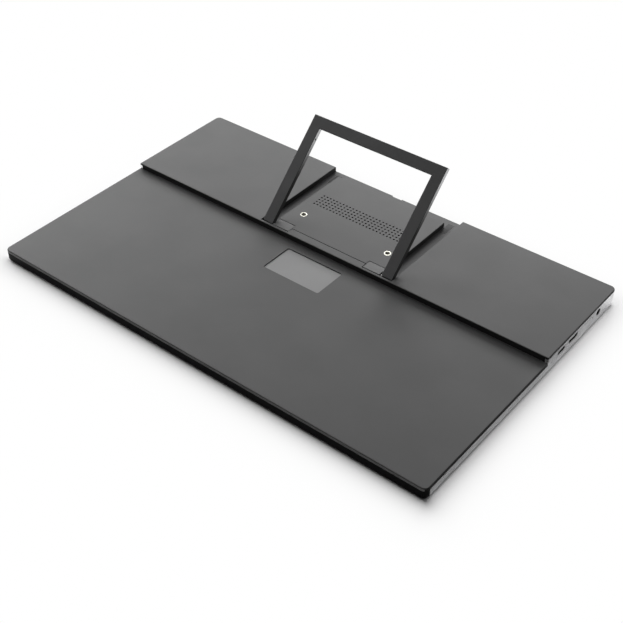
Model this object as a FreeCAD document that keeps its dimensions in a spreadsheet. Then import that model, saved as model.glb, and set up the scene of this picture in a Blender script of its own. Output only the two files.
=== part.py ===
import FreeCAD, Part
import math
import os
import re
import Sketcher

# A portable monitor lying on its screen with its back up and its kickstand open.
# X runs along the body, +Y points at the edge that it stands on in use, +Z points up, out of the back.
# The origin is on the surface under the middle of the body. All sizes are in millimetres and degrees.

SIZES = {
    # Body
    "body_length": 360.0,
    "body_depth": 224.0,
    "thin_height": 8.7,
    "thick_height": 13.0,
    "band_depth": 90.1,
    "corner_radius": 3.8,
    "edge_radius": 0.7,
    "step_edge": 0.5,
    "groove_edge": 0.3,
    "skin": 1.2,
    "rim_height": 1.4,
    "thin_rim_height": 2.2,
    "rim_wall": 1.8,
    "overrun": 2.0,
    # Rails and bezel
    "rail_wall": 2.4,
    "rail_return": 4.2,
    "rail_round": 0.6,
    "bezel_height": 0.8,
    "bezel_inset": 0.6,
    "bezel_side": 7.9,
    "bezel_top": 8.0,
    "bezel_chin": 22.4,
    "window_radius": 1.0,
    # Screen stack
    "panel_lap": 2.6,
    "cell_height": 1.2,
    "films_height": 0.4,
    "guide_height": 1.0,
    "tray_wall": 0.4,
    "tray_gap": 0.2,
    "led_depth": 1.5,
    # Kickstand
    "stand_width": 114.6,
    "stand_end_gap": 0.6,
    "leg_width": 8.8,
    "bar_width": 8.5,
    "stand_top": 2.1,
    "stand_under": 1.5,
    "stand_flush": 0.1,
    "stand_clearance": 0.3,
    "stand_edge": 0.35,
    "open_angle": 44.4,
    "pivot_setback": 4.6,
    "dimple_radius": 0.8,
    "dimple_depth": 1.0,
    "dimple_setback": 16.8,
    # Groove that takes the folded kickstand
    "groove_play": 0.7,
    "strip_depth": 6.5,
    "notch_width": 8.4,
    "notch_depth": 0.9,
    # Centre plate
    "leg_gap": 0.4,
    "bar_gap": 0.6,
    "seam": 0.3,
    "plate_wall": 1.4,
    "plate_edge": 0.25,
    "hole_pitch": 3.0,
    "hole_radius": 0.75,
    "hole_margin": 7.4,
    "hole_setback": 21.85,
    "insert_spacing": 75.0,
    "insert_setback": 18.7,
    "insert_bore": 1.65,
    "insert_wall": 0.7,
    "insert_flange": 0.2,
    "insert_flange_height": 0.8,
    "boss_wall": 1.4,
    # Hinges
    "pin_radius": 1.0,
    "pin_clearance": 0.05,
    "pin_grip": 7.8,
    "pin_reach": 12.6,
    "bush_wall": 0.45,
    "hinge_gap": 1.3,
    "hinge_front_gap": 0.7,
    "block_width": 14.0,
    "block_front": 2.1,
    "block_back": 5.9,
    "block_drop": 0.1,
    "block_edge": 0.4,
    "bracket_depth": 18.0,
    "bracket_overhang": 10.0,
    "bracket_height": 0.8,
    "hinge_screw_radius": 0.8,
    "hinge_screw_head": 1.6,
    "hinge_screw_head_height": 0.8,
    "hinge_screw_pitch": 7.6,
    "hinge_screw_setback": 3.8,
    "hinge_screw_cover": 1.1,
    "screw_clearance": 0.05,
    # Pads in the groove and label on the thin back
    "pad_width": 4.3,
    "pad_depth": 11.6,
    "pad_height": 0.5,
    "pad_seam": 0.15,
    "pad_side_gap": 4.8,
    "pad_back_gap": 4.6,
    "label_length": 47.7,
    "label_depth": 26.8,
    "label_setback": 8.5,
    "label_radius": 1.6,
    "label_recess": 0.7,
    "label_height": 0.2,
    # Speakers and their lead
    "speaker_length": 30.0,
    "speaker_depth": 15.0,
    "speaker_gap": 0.4,
    "speaker_pitch": 42.0,
    "speaker_radius": 3.0,
    "cone_depth": 0.6,
    "cone_margin": 2.0,
    "lead_width": 2.0,
    "lead_drop": 0.2,
    "lead_gap": 0.3,
    # Boards
    "board_height": 1.0,
    "board_side_gap": 2.6,
    "board_back_gap": 16.0,
    "spacer_height": 1.6,
    "spacer_radius": 2.2,
    "spacer_floor": 0.3,
    "board_screw_radius": 0.95,
    "board_screw_head": 1.8,
    "board_screw_head_height": 1.0,
    "board_screw_inset": 3.6,
    "port_screw_inset": 14.0,
    "jack_screw_gap": 13.7,
    "hole_clearance": 0.15,
    "main_board_length": 75.0,
    "main_board_setback": 6.1,
    "button_board_length": 12.0,
    "button_board_margin": 8.0,
    "button_screw_margin": 6.5,
    "driver_board_length": 150.0,
    "driver_board_depth": 8.0,
    "driver_board_height": 0.8,
    "driver_board_gap": 0.8,
    "driver_ribbon_reach": 15.0,
    "flex_width": 22.0,
    "flex_pitch": 48.0,
    "flex_height": 0.3,
    "flex_bulge": 0.5,
    "flex_lap": 3.0,
    "flex_gap": 0.2,
    "chip_size": 14.0,
    "chip_height": 1.2,
    "chip_setback": 16.0,
    "coil_size": 5.0,
    "coil_height": 2.2,
    "coil_pitch": 7.0,
    "shield_length": 24.0,
    "shield_depth": 12.0,
    "shield_height": 3.0,
    "shield_wall": 0.3,
    "shield_setback": 4.0,
    "connector_length": 8.0,
    "connector_height": 0.9,
    "ribbon_height": 0.3,
    "panel_ribbon_width": 6.0,
    "button_ribbon_width": 4.0,
    "lead_setback": 5.0,
    "ribbon_setback": 5.0,
    "ribbon_ramp": 6.0,
    # Sockets in the right rail: two are placed from the step, and two from the edge that the body stands on
    "port_recess": 0.3,
    "port_gap": 0.15,
    "shell_wall": 0.3,
    "tongue_height": 0.7,
    "tongue_setback": 1.2,
    "tongue_margin": 1.2,
    "jack_setback": 24.3,
    "jack_nose": 2.55,
    "jack_bore": 1.8,
    "jack_width": 6.2,
    "jack_body_height": 5.2,
    "jack_length": 12.0,
    "jack_gap": 0.2,
    "jack_drop": 0.3,
    "light_pitch": 8.2,
    "light_radius": 0.7,
    "light_foot": 4.0,
    "video_width": 11.4,
    "video_height": 3.2,
    "video_depth": 8.2,
    "video_taper": 1.0,
    "usb_setback": 16.8,
    "usb_pitch": 15.3,
    "usb_width": 9.0,
    "usb_height": 3.2,
    "usb_depth": 7.6,
    # Buttons in the left rail, placed one after the other from the edge that the body stands on
    "power_setback": 24.0,
    "menu_up_pitch": 16.0,
    "menu_down_pitch": 14.0,
    "button_width": 8.6,
    "button_height": 2.8,
    "button_gap": 0.25,
    "button_lip": 0.9,
    "button_lip_depth": 1.0,
    "button_lip_gap": 0.3,
    "switch_gap": 0.9,
    "switch_width": 6.0,
    "switch_depth": 4.6,
    "switch_height": 3.2,
    "plunger_width": 2.4,
    "plunger_height": 1.2,
    "plunger_reach": 0.8,
}

HOLE_ROWS = 5
COILS = 3
FLEXES = 3
BUTTONS = ("power", "menu_up", "menu_down")
SIDES = ((1, "right"), (-1, "left"))
RIGHT_ANGLE = 90
SAME = 1e-6

# Places and levels that several pieces share, each a formula of the sizes above.
PLACES = {
    "half_length": "body_length / 2",
    "half_depth": "body_depth / 2",
    "step_y": "half_depth - band_depth",
    "thin_rim": "thin_height - thin_rim_height",
    "thick_rim": "thick_height - rim_height",
    "groove_depth": "stand_flush + stand_top + stand_under + stand_clearance",
    "groove_floor": "thick_height - groove_depth",
    "floor_under": "groove_floor - skin",
    "notch_rim": "groove_floor - rim_height",
    "rail_inner": "half_length - rail_wall",
    "rail_inner_y": "half_depth - rail_wall",
    "rail_half": "half_depth - rail_return",
    "window_length": "body_length - 2 * bezel_side",
    "window_front": "bezel_top - half_depth",
    "window_back": "half_depth - bezel_chin",
    "panel_half": "window_length / 2 + panel_lap",
    "panel_front": "window_front - panel_lap",
    "panel_back": "window_back + panel_lap",
    "films_low": "bezel_height + cell_height",
    "guide_low": "films_low + films_height",
    "guide_top": "guide_low + guide_height",
    "tray_top": "guide_top + tray_wall",
    "tray_reach": "tray_gap + tray_wall",
    "tray_back": "panel_back + tray_reach",
    "stand_half": "stand_width / 2",
    "stand_length": "band_depth - pivot_setback - stand_end_gap",
    "bar_inner": "stand_length - bar_width",
    "leg_inner": "stand_half - leg_width",
    "pivot_y": "step_y + pivot_setback",
    "pivot_z": "thick_height - stand_flush - stand_top",
    "groove_half": "stand_half + groove_play",
    "tub_half": "groove_half + skin",
    "bush_inside": "pin_radius + pin_clearance",
    "bush_outside": "bush_inside + bush_wall",
    "block_outer": "leg_inner - hinge_gap",
    "block_inner": "block_outer - block_width",
    "block_mid": "(block_inner + block_outer) / 2",
    "block_y0": "pivot_y - block_front",
    "block_y1": "pivot_y + block_back",
    "block_top": "thick_height - block_drop",
    "groove_front": "block_y0 - hinge_front_gap",
    "strip_half": "block_inner - seam",
    "strip_back": "step_y + strip_depth",
    "plate_half": "leg_inner - leg_gap",
    "plate_front": "strip_back + seam",
    "plate_ear": "block_y1 + seam",
    "plate_back": "pivot_y + bar_inner - bar_gap",
    "plate_under": "thick_height - skin",
    "insert_y": "plate_front + insert_setback",
    "hole_row_y": "insert_y + hole_setback",
    "insert_body": "insert_bore + insert_wall",
    "insert_rim": "insert_body + insert_flange",
    "insert_boss": "insert_body + boss_wall",
    "hinge_screw_y": "pivot_y + hinge_screw_setback",
    "hinge_screw_hole": "hinge_screw_radius + screw_clearance",
    "bracket_low": "floor_under - bracket_height",
    "pad_outer": "groove_half - pad_side_gap",
    "pad_inner": "pad_outer - pad_width",
    "pad_y1": "half_depth - pad_back_gap",
    "pad_y0": "pad_y1 - pad_depth",
    "pad_low": "groove_floor - pad_height",
    "label_y": "step_y - label_setback - label_depth / 2",
    "label_low": "thin_height - label_recess",
    "speaker_top": "plate_under - speaker_gap",
    "board_low": "tray_top + spacer_height",
    "board_top": "board_low + board_height",
    "board_edge": "rail_inner - board_side_gap",
    "board_hole": "board_screw_radius + hole_clearance",
    "connector_top": "board_top + connector_height",
    "port_z": "board_top + usb_height / 2",
    "port_mouth": "half_length - port_recess",
    "jack_y": "half_depth - jack_setback",
    "jack_z": "port_z - jack_drop",
    "jack_face": "rail_inner - jack_gap",
    "jack_back": "jack_face - jack_length",
    "light_y": "jack_y - light_pitch",
    "usb_y": "step_y + usb_setback",
    "video_y": "usb_y + usb_pitch",
    "power_y": "half_depth - power_setback",
    "menu_up_y": "power_y - menu_up_pitch",
    "menu_down_y": "menu_up_y - menu_down_pitch",
    "main_x0": "board_edge - main_board_length",
    "main_y0": "step_y + main_board_setback",
    "main_y1": "half_depth - board_back_gap",
    "button_x1": "button_board_length - board_edge",
    "button_y0": "menu_down_y - button_board_margin",
    "button_y1": "power_y + button_board_margin",
    "driver_x1": "main_x0 - driver_ribbon_reach",
    "driver_x0": "driver_x1 - driver_board_length",
    "driver_mid_x": "driver_x1 - driver_board_length / 2",
    "driver_y1": "panel_back - driver_board_gap",
    "driver_y0": "driver_y1 - driver_board_depth",
    "driver_mid": "driver_y1 - driver_board_depth / 2",
    "driver_top": "tray_top + driver_board_height",
    "flex_mid_z": "bezel_height + cell_height / 2",
    "main_screw_y": "main_y0 + board_screw_inset",
    "jack_screw_y": "jack_y - jack_screw_gap",
    "lead_y": "hole_row_y - lead_setback",
    "lead_top": "floor_under - lead_drop",
    "lead_low": "lead_top - ribbon_height",
    "button_ribbon_y": "jack_screw_y - ribbon_setback",
    "lip_outer": "rail_inner - button_lip_gap",
    "lip_inner": "lip_outer - button_lip_depth",
    "plunger_tip": "lip_inner - switch_gap",
    "switch_face": "plunger_tip - plunger_reach",
}

doc = FreeCAD.newDocument("portable_monitor")
sheet = doc.addObject("Spreadsheet::Sheet", "Sizes")
pieces = {}


def fill_sheet():
    """Put each size in the sheet as a plain number and each place as a formula, all with aliases."""
    cells = [(alias, str(size)) for alias, size in SIZES.items()]
    cells += [(alias, "=" + formula) for alias, formula in PLACES.items()]
    for row, (alias, content) in enumerate(cells, start=1):
        sheet.set(f"A{row}", alias)
        sheet.set(f"B{row}", content)
        sheet.setAlias(f"B{row}", alias)
        doc.recompute()


def bound(formula):
    """The formula with each alias written as a reference to the sheet."""
    return re.sub(r"[a-z]\w*", lambda word: "Sizes." + word.group(0), str(formula))


def number(formula):
    """The value that a formula has now."""
    return float(sheet.evalExpression(str(formula)))


def bind(item, **formulas):
    """Bind properties of an object to formulas; a double underscore stands for a dot."""
    for name, formula in formulas.items():
        item.setExpression(name.replace("__", "."), bound(formula))


def keep(label, item):
    """Name a finished piece, which is written to its own file."""
    item.Label = label
    pieces[label] = item


def span(side, low, high):
    """A stretch of X on the right (1) or mirrored to the left (-1)."""
    return (low, high) if side > 0 else (f"-({high})", f"-({low})")


def about(middle, size):
    """A stretch of this size with its middle there."""
    return (f"{middle} - ({size}) / 2", f"{middle} + ({size}) / 2")


def both_ways(reach):
    """A stretch that reaches as far to the left as to the right."""
    return (f"-({reach})", reach)


def block(label, x, y, z):
    """A box between pairs of low and high formulas along X, Y and Z."""
    box = doc.addObject("Part::Box", label)
    bind(box, Length=f"({x[1]}) - ({x[0]})", Width=f"({y[1]}) - ({y[0]})", Height=f"({z[1]}) - ({z[0]})")
    bind(box, Placement__Base__x=x[0], Placement__Base__y=y[0], Placement__Base__z=z[0])
    return box


def rod_z(label, x, y, z, radius):
    """An upright cylinder at x, y between the pair of formulas z."""
    rod = doc.addObject("Part::Cylinder", label)
    bind(rod, Radius=radius, Height=f"({z[1]}) - ({z[0]})")
    bind(rod, Placement__Base__x=x, Placement__Base__y=y, Placement__Base__z=z[0])
    return rod


def rod_x(label, x, y, z, radius):
    """A cylinder along X at y, z between the pair of formulas x."""
    rod = doc.addObject("Part::Cylinder", label)
    turn = FreeCAD.Rotation(FreeCAD.Vector(0, 1, 0), RIGHT_ANGLE)
    rod.Placement = FreeCAD.Placement(FreeCAD.Vector(), turn)
    bind(rod, Radius=radius, Height=f"({x[1]}) - ({x[0]})")
    bind(rod, Placement__Base__x=x[0], Placement__Base__y=y, Placement__Base__z=z)
    return rod


def join(label, *items):
    """One solid made of solids that overlap or touch."""
    union = doc.addObject("Part::MultiFuse", label)
    union.Shapes = list(items)
    union.Refine = True
    return union


def cut(label, base, *tools):
    """The base with every tool taken away."""
    difference = doc.addObject("Part::Cut", label)
    difference.Base = base
    difference.Tool = tools[0] if len(tools) == 1 else join(label + "_tools", *tools)
    difference.Refine = True
    return difference


def group(label, *items):
    """Several separate solids of one kind, kept together."""
    bunch = doc.addObject("Part::Compound", label)
    bunch.Links = list(items)
    return bunch


def new_sketch(body, role, offset):
    """A sketch on one of the body's own origin planes, moved along the plane's normal."""
    plane = next(item for item in body.Origin.OriginFeatures if item.Role == role)
    sketch = body.newObject("Sketcher::SketchObject", body.Name + "_outline")
    sketch.AttachmentSupport = [(plane, "")]
    sketch.MapMode = "FlatFace"
    bind(sketch, AttachmentOffset__Base__z=offset)
    return sketch


def pad(body, sketch, height):
    """Pad the sketch along its normal."""
    feature = body.newObject("PartDesign::Pad", body.Name + "_pad")
    feature.Profile = sketch
    bind(feature, Length=height)
    doc.recompute()


def rounded_slab(label, length, depth, radius, low, high, middle=("0", "0"), rounds=()):
    """An upright slab with rounded corners.

    The rounds are pairs of a level, low or high, and the radius of the rounding along that edge.
    """
    body = doc.addObject("PartDesign::Body", label)
    sketch = new_sketch(body, "XY_Plane", low)
    half_x, half_y, bend = number(length) / 2, number(depth) / 2, number(radius)
    quarter = math.pi / 2
    for turn, (sign_x, sign_y) in enumerate([(1, 1), (-1, 1), (-1, -1), (1, -1)]):
        centre = FreeCAD.Vector(sign_x * (half_x - bend), sign_y * (half_y - bend), 0)
        circle = Part.Circle(centre, FreeCAD.Vector(0, 0, 1), bend)
        sketch.addGeometry(Part.ArcOfCircle(circle, quarter * turn, quarter * (turn + 1)), False)
    for turn in range(4):
        start, end = sketch.getPoint(turn, 2), sketch.getPoint((turn + 1) % 4, 1)
        sketch.addGeometry(Part.LineSegment(start, end), False)
    for turn in range(4):
        sketch.addConstraint(Sketcher.Constraint("Tangent", turn, 2, 4 + turn, 1))
        sketch.addConstraint(Sketcher.Constraint("Tangent", 4 + turn, 2, (turn + 1) % 4, 1))
        sketch.addConstraint(Sketcher.Constraint("Vertical" if turn % 2 else "Horizontal", 4 + turn))
    for turn in range(1, 4):
        sketch.addConstraint(Sketcher.Constraint("Equal", 0, turn))
    sketch.addConstraint(Sketcher.Constraint("Symmetric", 0, 3, 2, 3, -1, 1))
    driven = {
        "radius": (Sketcher.Constraint("Radius", 0, bend), radius),
        "length": (Sketcher.Constraint("DistanceX", 1, 2, 3, 2, 2 * half_x), length),
        "depth": (Sketcher.Constraint("DistanceY", 2, 2, 0, 2, 2 * half_y), depth),
    }
    for name, (constraint, formula) in driven.items():
        sketch.renameConstraint(sketch.addConstraint(constraint), name)
        sketch.setExpression(f"Constraints.{name}", bound(formula))
    pad(body, sketch, f"({high}) - ({low})")
    bind(body, Placement__Base__x=middle[0], Placement__Base__y=middle[1])
    for level, bend in rounds:
        slab, height = body.Tip, number(level)
        edges = [f"Edge{index}" for index, edge in enumerate(slab.Shape.Edges, start=1)
                 if flat_at(edge, "Z", height)]
        rounding = body.newObject("PartDesign::Fillet", label + "_rounding")
        rounding.Base = (slab, edges)
        bind(rounding, Radius=bend)
        doc.recompute()
    return body


def outline_body(label, role, points, low, high):
    """A straight-sided outline in one of the origin planes, padded from low to high along its normal."""
    body = doc.addObject("PartDesign::Body", label)
    sketch = new_sketch(body, role, low)
    places = [FreeCAD.Vector(number(first), number(second), 0) for first, second in points]
    count = len(points)
    for index in range(count):
        sketch.addGeometry(Part.LineSegment(places[index], places[(index + 1) % count]), False)
    for index in range(count):
        sketch.addConstraint(Sketcher.Constraint("Coincident", index, 2, (index + 1) % count, 1))
    for index, pair in enumerate(points):
        for kind, formula in zip(("DistanceX", "DistanceY"), pair):
            row = sketch.addConstraint(Sketcher.Constraint(kind, -1, 1, index, 1, number(formula)))
            sketch.setExpression(f"Constraints[{row}]", bound(formula))
    pad(body, sketch, f"({high}) - ({low})")
    return body


def flat_at(edge, axis, level):
    """Whether an edge lies in the plane where the axis has this level."""
    low, high = getattr(edge.BoundBox, axis + "Min"), getattr(edge.BoundBox, axis + "Max")
    return abs(low - level) < SAME and abs(high - level) < SAME


def within(edge, axis, reach):
    """Whether an edge stays between minus reach and reach along the axis."""
    return getattr(edge.BoundBox, axis + "Min") > -reach and getattr(edge.BoundBox, axis + "Max") < reach


def soften(label, base, radius, wanted):
    """Round the edges of the base that the test wanted picks."""
    doc.recompute()
    bend = number(radius)
    picked = [index for index, edge in enumerate(base.Shape.Edges, start=1) if wanted(edge)]
    rounding = doc.addObject("Part::Fillet", label)
    rounding.Base = base
    rounding.Edges = [(index, bend, bend) for index in picked]
    return rounding


def stadium(label, x, y, z, width, height):
    """A slot-shaped prism along X with round ends, centred at y, z."""
    reach = f"({width}) - ({height})"
    ends = about(y, reach)
    middle = block(label + "_middle", x, ends, about(z, height))
    first = rod_x(label + "_first", x, ends[0], z, f"({height}) / 2")
    last = rod_x(label + "_last", x, ends[1], z, f"({height}) / 2")
    return join(label, middle, first, last)


def hinge_screw_places(side):
    """The two screws under a hinge block, as formulas of X."""
    ends = about("block_mid", "hinge_screw_pitch")
    return ends if side > 0 else [f"-({end})" for end in ends]


def make_rear_cover():
    """Stepped cover: thin back, thick band, and the groove in the band for the kickstand."""
    outline = ("body_length", "body_depth", "corner_radius", "thin_rim")
    thin = rounded_slab("cover_thin", *outline, "thin_height", rounds=[("thin_height", "edge_radius")])
    thick = rounded_slab("cover_thick", *outline, "thick_height", rounds=[("thick_height", "edge_radius")])
    below, above = "thin_rim - overrun", "thick_height + overrun"
    past_x, past_y = "half_length + overrun", "half_depth + overrun"
    band = doc.addObject("Part::Common", "cover_band")
    band.Base = thick
    band.Tool = block("cover_band_limit", both_ways(past_x), ("step_y", past_y), (below, above))
    shell = join("cover_blank", thin, band)
    inner_x, inner_y = "half_length - rim_wall", "half_depth - rim_wall"
    tools = [
        block("thin_hollow", both_ways(inner_x), (f"-({inner_y})", "step_y"), (below, "thin_height - skin")),
        block("groove_hollow", both_ways("tub_half"), ("step_y + skin", inner_y), (below, "floor_under")),
        block("groove_room", both_ways("groove_half"), ("strip_back", past_y), ("groove_floor", above)),
        block("back_rail_low", both_ways(past_x), ("rail_inner_y", past_y), (below, "notch_rim")),
        block("finger_notch", about("0", "notch_width"), ("half_depth - notch_depth", past_y), (below, above)),
        rounded_slab("label_room", "label_length + 2 * pad_seam", "label_depth + 2 * pad_seam", "label_radius",
                     "label_low", "thin_height + overrun", middle=("0", "label_y")),
    ]
    for side, name in SIDES:
        tools += [
            block(f"band_hollow_{name}", span(side, "tub_half", inner_x), ("step_y + skin", inner_y),
                  (below, "plate_under")),
            block(f"side_rail_room_{name}", span(side, "rail_inner", past_x), ("step_y", past_y),
                  (below, "thick_rim")),
            block(f"back_rail_room_{name}", span(side, "tub_half", past_x), ("rail_inner_y", past_y),
                  (below, "thick_rim")),
            block(f"hinge_room_{name}", span(side, "strip_half", "groove_half"), ("groove_front", "strip_back"),
                  ("groove_floor", above)),
            block(f"pad_room_{name}", span(side, "pad_inner - pad_seam", "pad_outer + pad_seam"),
                  ("pad_y0 - pad_seam", "pad_y1 + pad_seam"), ("pad_low", above)),
            block(f"lead_slot_{name}", about(speaker_x(side), "ribbon_height + 2 * lead_gap"),
                  about("lead_y", "lead_width + 2 * lead_gap"), (below, above)),
        ]
        tools += [rod_z(f"cover_screw_hole_{name}_{index}", x, "hinge_screw_y", (below, above), "hinge_screw_hole")
                  for index, x in enumerate(hinge_screw_places(side))]
    carved = cut("cover_carved", shell, *tools)
    top, step, reach = number("thick_height"), number("step_y"), number("groove_half") + SAME
    stepped = soften("cover_stepped", carved, "step_edge",
                     lambda edge: flat_at(edge, "Z", top) and flat_at(edge, "Y", step))
    keep("rear_cover", soften("rear_cover", stepped, "groove_edge",
                              lambda edge: flat_at(edge, "Z", top) and within(edge, "X", reach)
                              and edge.BoundBox.YMin > number("groove_front - seam")))


def make_centre_plate():
    """Perforated plate between the kickstand's legs, flush with the band, with bosses for two inserts."""
    shape = [("-strip_half", "plate_front"), ("strip_half", "plate_front"), ("strip_half", "plate_ear"),
             ("plate_half", "plate_ear"), ("plate_half", "plate_back"), ("-plate_half", "plate_back"),
             ("-plate_half", "plate_ear"), ("-strip_half", "plate_ear")]
    blank = outline_body("plate_blank", "XY_Plane", shape, "groove_floor", "thick_height")
    top = number("thick_height")
    soft = soften("plate_soft", blank, "plate_edge", lambda edge: flat_at(edge, "Z", top))
    under, above = "groove_floor - overrun", "thick_height + overrun"
    hollow = block("plate_hollow", both_ways("plate_half - plate_wall"),
                   ("plate_ear + plate_wall", "plate_back - plate_wall"), (under, "plate_under"))
    bosses, holes = [], []
    for side, name in SIDES:
        x = insert_x(side)
        bosses.append(rod_z(f"plate_boss_{name}", x, "insert_y", ("groove_floor", "plate_under"), "insert_boss"))
        holes.append(rod_z(f"plate_bore_{name}", x, "insert_y", (under, above), "insert_body"))
        holes.append(rod_z(f"plate_counterbore_{name}", x, "insert_y",
                           ("thick_height - insert_flange_height", above), "insert_rim"))
    perforations = doc.addObject("Part::Feature", "plate_perforations")
    perforations.Shape = Part.makeCompound(perforation_pins())
    bossed = join("plate_bossed", cut("plate_tub", soft, hollow), *bosses)
    keep("centre_plate", cut("centre_plate", cut("plate_drilled", bossed, *holes), perforations))


def perforation_pins():
    """A grid of upright pins, centred on X and as wide as the plate takes, that punches the plate's holes."""
    pitch, radius, depth = number("hole_pitch"), number("hole_radius"), number("skin + 2 * overrun")
    columns = math.floor(2 * number("plate_half - hole_margin") / pitch) + 1
    middle_y, low = number("hole_row_y"), number("plate_under - overrun")
    pins = []
    for column in range(columns):
        for row in range(HOLE_ROWS):
            x = (column - (columns - 1) / 2) * pitch
            y = middle_y + (row - (HOLE_ROWS - 1) / 2) * pitch
            pins.append(Part.makeCylinder(radius, depth, FreeCAD.Vector(x, y, low)))
    return pins


def insert_x(side):
    """The place of an insert, as a formula of X."""
    return "insert_spacing / 2" if side > 0 else "-insert_spacing / 2"


def make_inserts():
    """Two flanged threaded inserts in the centre plate."""
    inserts = []
    for side, name in SIDES:
        x = insert_x(side)
        body = rod_z(f"insert_body_{name}", x, "insert_y", ("groove_floor", "thick_height"), "insert_body")
        flange = rod_z(f"insert_flange_{name}", x, "insert_y",
                       ("thick_height - insert_flange_height", "thick_height"), "insert_rim")
        bore = rod_z(f"insert_bore_{name}", x, "insert_y",
                     ("groove_floor - overrun", "thick_height + overrun"), "insert_bore")
        inserts.append(cut(f"insert_{name}", join(f"insert_blank_{name}", body, flange), bore))
    keep("thread_inserts", group("thread_inserts", *inserts))


def make_label_and_pads():
    """The blank label in its recess and the two pads that the folded kickstand lies over."""
    keep("label_plate", rounded_slab("label_plate", "label_length", "label_depth", "label_radius", "label_low",
                                     "label_low + label_height", middle=("0", "label_y")))
    for side, name in SIDES:
        keep(f"groove_pad_{name}", block(f"groove_pad_{name}", span(side, "pad_inner", "pad_outer"),
                                         ("pad_y0", "pad_y1"), ("pad_low", "groove_floor")))


def frame_slab(label, top):
    """The outline of the rails from the bezel up to this level, rounded along its lower edge."""
    return rounded_slab(label, "body_length", "body_depth", "corner_radius", "bezel_height", top,
                        rounds=[("bezel_height", "rail_round")])


def side_rail_blank(side, name):
    """A silver side rail that follows the step and goes round the corner beside the edge that the body stands on."""
    shape = [("-rail_half", "bezel_height"), ("half_depth", "bezel_height"), ("half_depth", "thick_rim"),
             ("step_y", "thick_rim"), ("step_y", "thin_rim"), ("-rail_half", "thin_rim")]
    rail = doc.addObject("Part::Common", f"side_rail_blank_{name}")
    rail.Base = outline_body(f"side_rail_bar_{name}", "YZ_Plane", shape, *span(side, "rail_inner", "half_length"))
    rail.Tool = frame_slab(f"side_rail_frame_{name}", "thick_rim")
    return rail


def make_side_rails():
    """The rail with the sockets on the right and the rail with the buttons on the left."""
    through = ("rail_inner - overrun", "half_length + overrun")
    ports = [
        stadium("usb_hole", through, "usb_y", "port_z", "usb_width + 2 * port_gap", "usb_height + 2 * port_gap"),
        outline_body("video_hole", "YZ_Plane", video_outline("port_gap"), *through),
        rod_x("light_hole", through, "light_y", "port_z", "light_radius + port_gap"),
        rod_x("jack_hole", through, "jack_y", "jack_z", "jack_nose + port_gap"),
    ]
    keep("side_rail_right", cut("side_rail_right", side_rail_blank(1, "right"), *ports))
    slots = [stadium(f"{name}_slot", span(-1, *through), f"{name}_y", "port_z",
                     "button_width + 2 * button_gap", "button_height + 2 * button_gap") for name in BUTTONS]
    keep("side_rail_left", cut("side_rail_left", side_rail_blank(-1, "left"), *slots))


def video_outline(grow):
    """The mouth of the video socket with its two cut lower corners, grown all round by a gap."""
    left, right = about("video_y", f"video_width + 2 * {grow}")
    low, high = about("port_z", f"video_height + 2 * {grow}")
    shoulder = f"{low} + video_taper"
    return [(f"{left} + video_taper", low), (f"{right} - video_taper", low), (right, shoulder),
            (right, high), (left, high), (left, shoulder)]


def make_end_rails():
    """The black rails along the long edges; the one at the thin side carries its two rounded corners."""
    inner, all_x = both_ways("rail_inner"), both_ways("half_length + overrun")
    before, past = both_ways("half_depth + overrun")
    levels = ("bezel_height - overrun", "thick_rim + overrun")
    keep("front_rail", cut("front_rail", frame_slab("front_rail_blank", "thin_rim"),
                           block("front_rail_room", inner, ("-rail_inner_y", past), levels),
                           block("front_rail_end", all_x, ("-rail_half", past), levels)))
    ends = [block(f"back_rail_end_{name}", span(side, "rail_inner", "half_length + overrun"), (before, past), levels)
            for side, name in SIDES]
    keep("back_rail", cut("back_rail", frame_slab("back_rail_blank", "thick_rim"),
                          block("back_rail_room", all_x, (before, "rail_inner_y"), levels), *ends,
                          block("back_rail_notch", both_ways("tub_half"), (before, past),
                                ("notch_rim", "thick_rim + overrun"))))


def make_screen():
    """Bezel and screen stack: cell, films, light guide and its lamps, and the steel tray behind them."""
    blank = rounded_slab("bezel_blank", "body_length - 2 * bezel_inset", "body_depth - 2 * bezel_inset",
                         "corner_radius - bezel_inset", "0", "bezel_height")
    window = rounded_slab("bezel_window", "window_length", "window_back - window_front", "window_radius",
                          "-overrun", "bezel_height + overrun", middle=("0", "(window_front + window_back) / 2"))
    keep("front_bezel", cut("front_bezel", blank, window))
    wide, deep = both_ways("panel_half"), ("panel_front", "panel_back")
    lamps = "panel_back - led_depth"
    keep("lcd_cell", block("lcd_cell", wide, deep, ("bezel_height", "films_low")))
    keep("optical_films", block("optical_films", wide, deep, ("films_low", "guide_low")))
    keep("light_guide", block("light_guide", wide, ("panel_front", lamps), ("guide_low", "guide_top")))
    keep("backlight_strip", block("backlight_strip", wide, (lamps, "panel_back"), ("guide_low", "guide_top")))
    outer = block("tray_blank", both_ways("panel_half + tray_reach"), ("panel_front - tray_reach", "tray_back"),
                  ("bezel_height", "tray_top"))
    room = block("tray_room", both_ways("panel_half + tray_gap"), ("panel_front - tray_gap", "panel_back + tray_gap"),
                 ("bezel_height - overrun", "guide_top"))
    slots = [block(f"tray_slot_{index}", about(flex_x(index), "flex_width + 2 * flex_gap"),
                   ("panel_back", "tray_back + overrun"), about("flex_mid_z", "flex_height + 2 * flex_gap"))
             for index in range(FLEXES)]
    keep("panel_tray", cut("panel_tray", outer, room, *slots))


def flex_x(index):
    """The middle of one of the flexible films, as a formula of X."""
    return f"driver_mid_x + ({index - (FLEXES - 1) / 2}) * flex_pitch"


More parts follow.
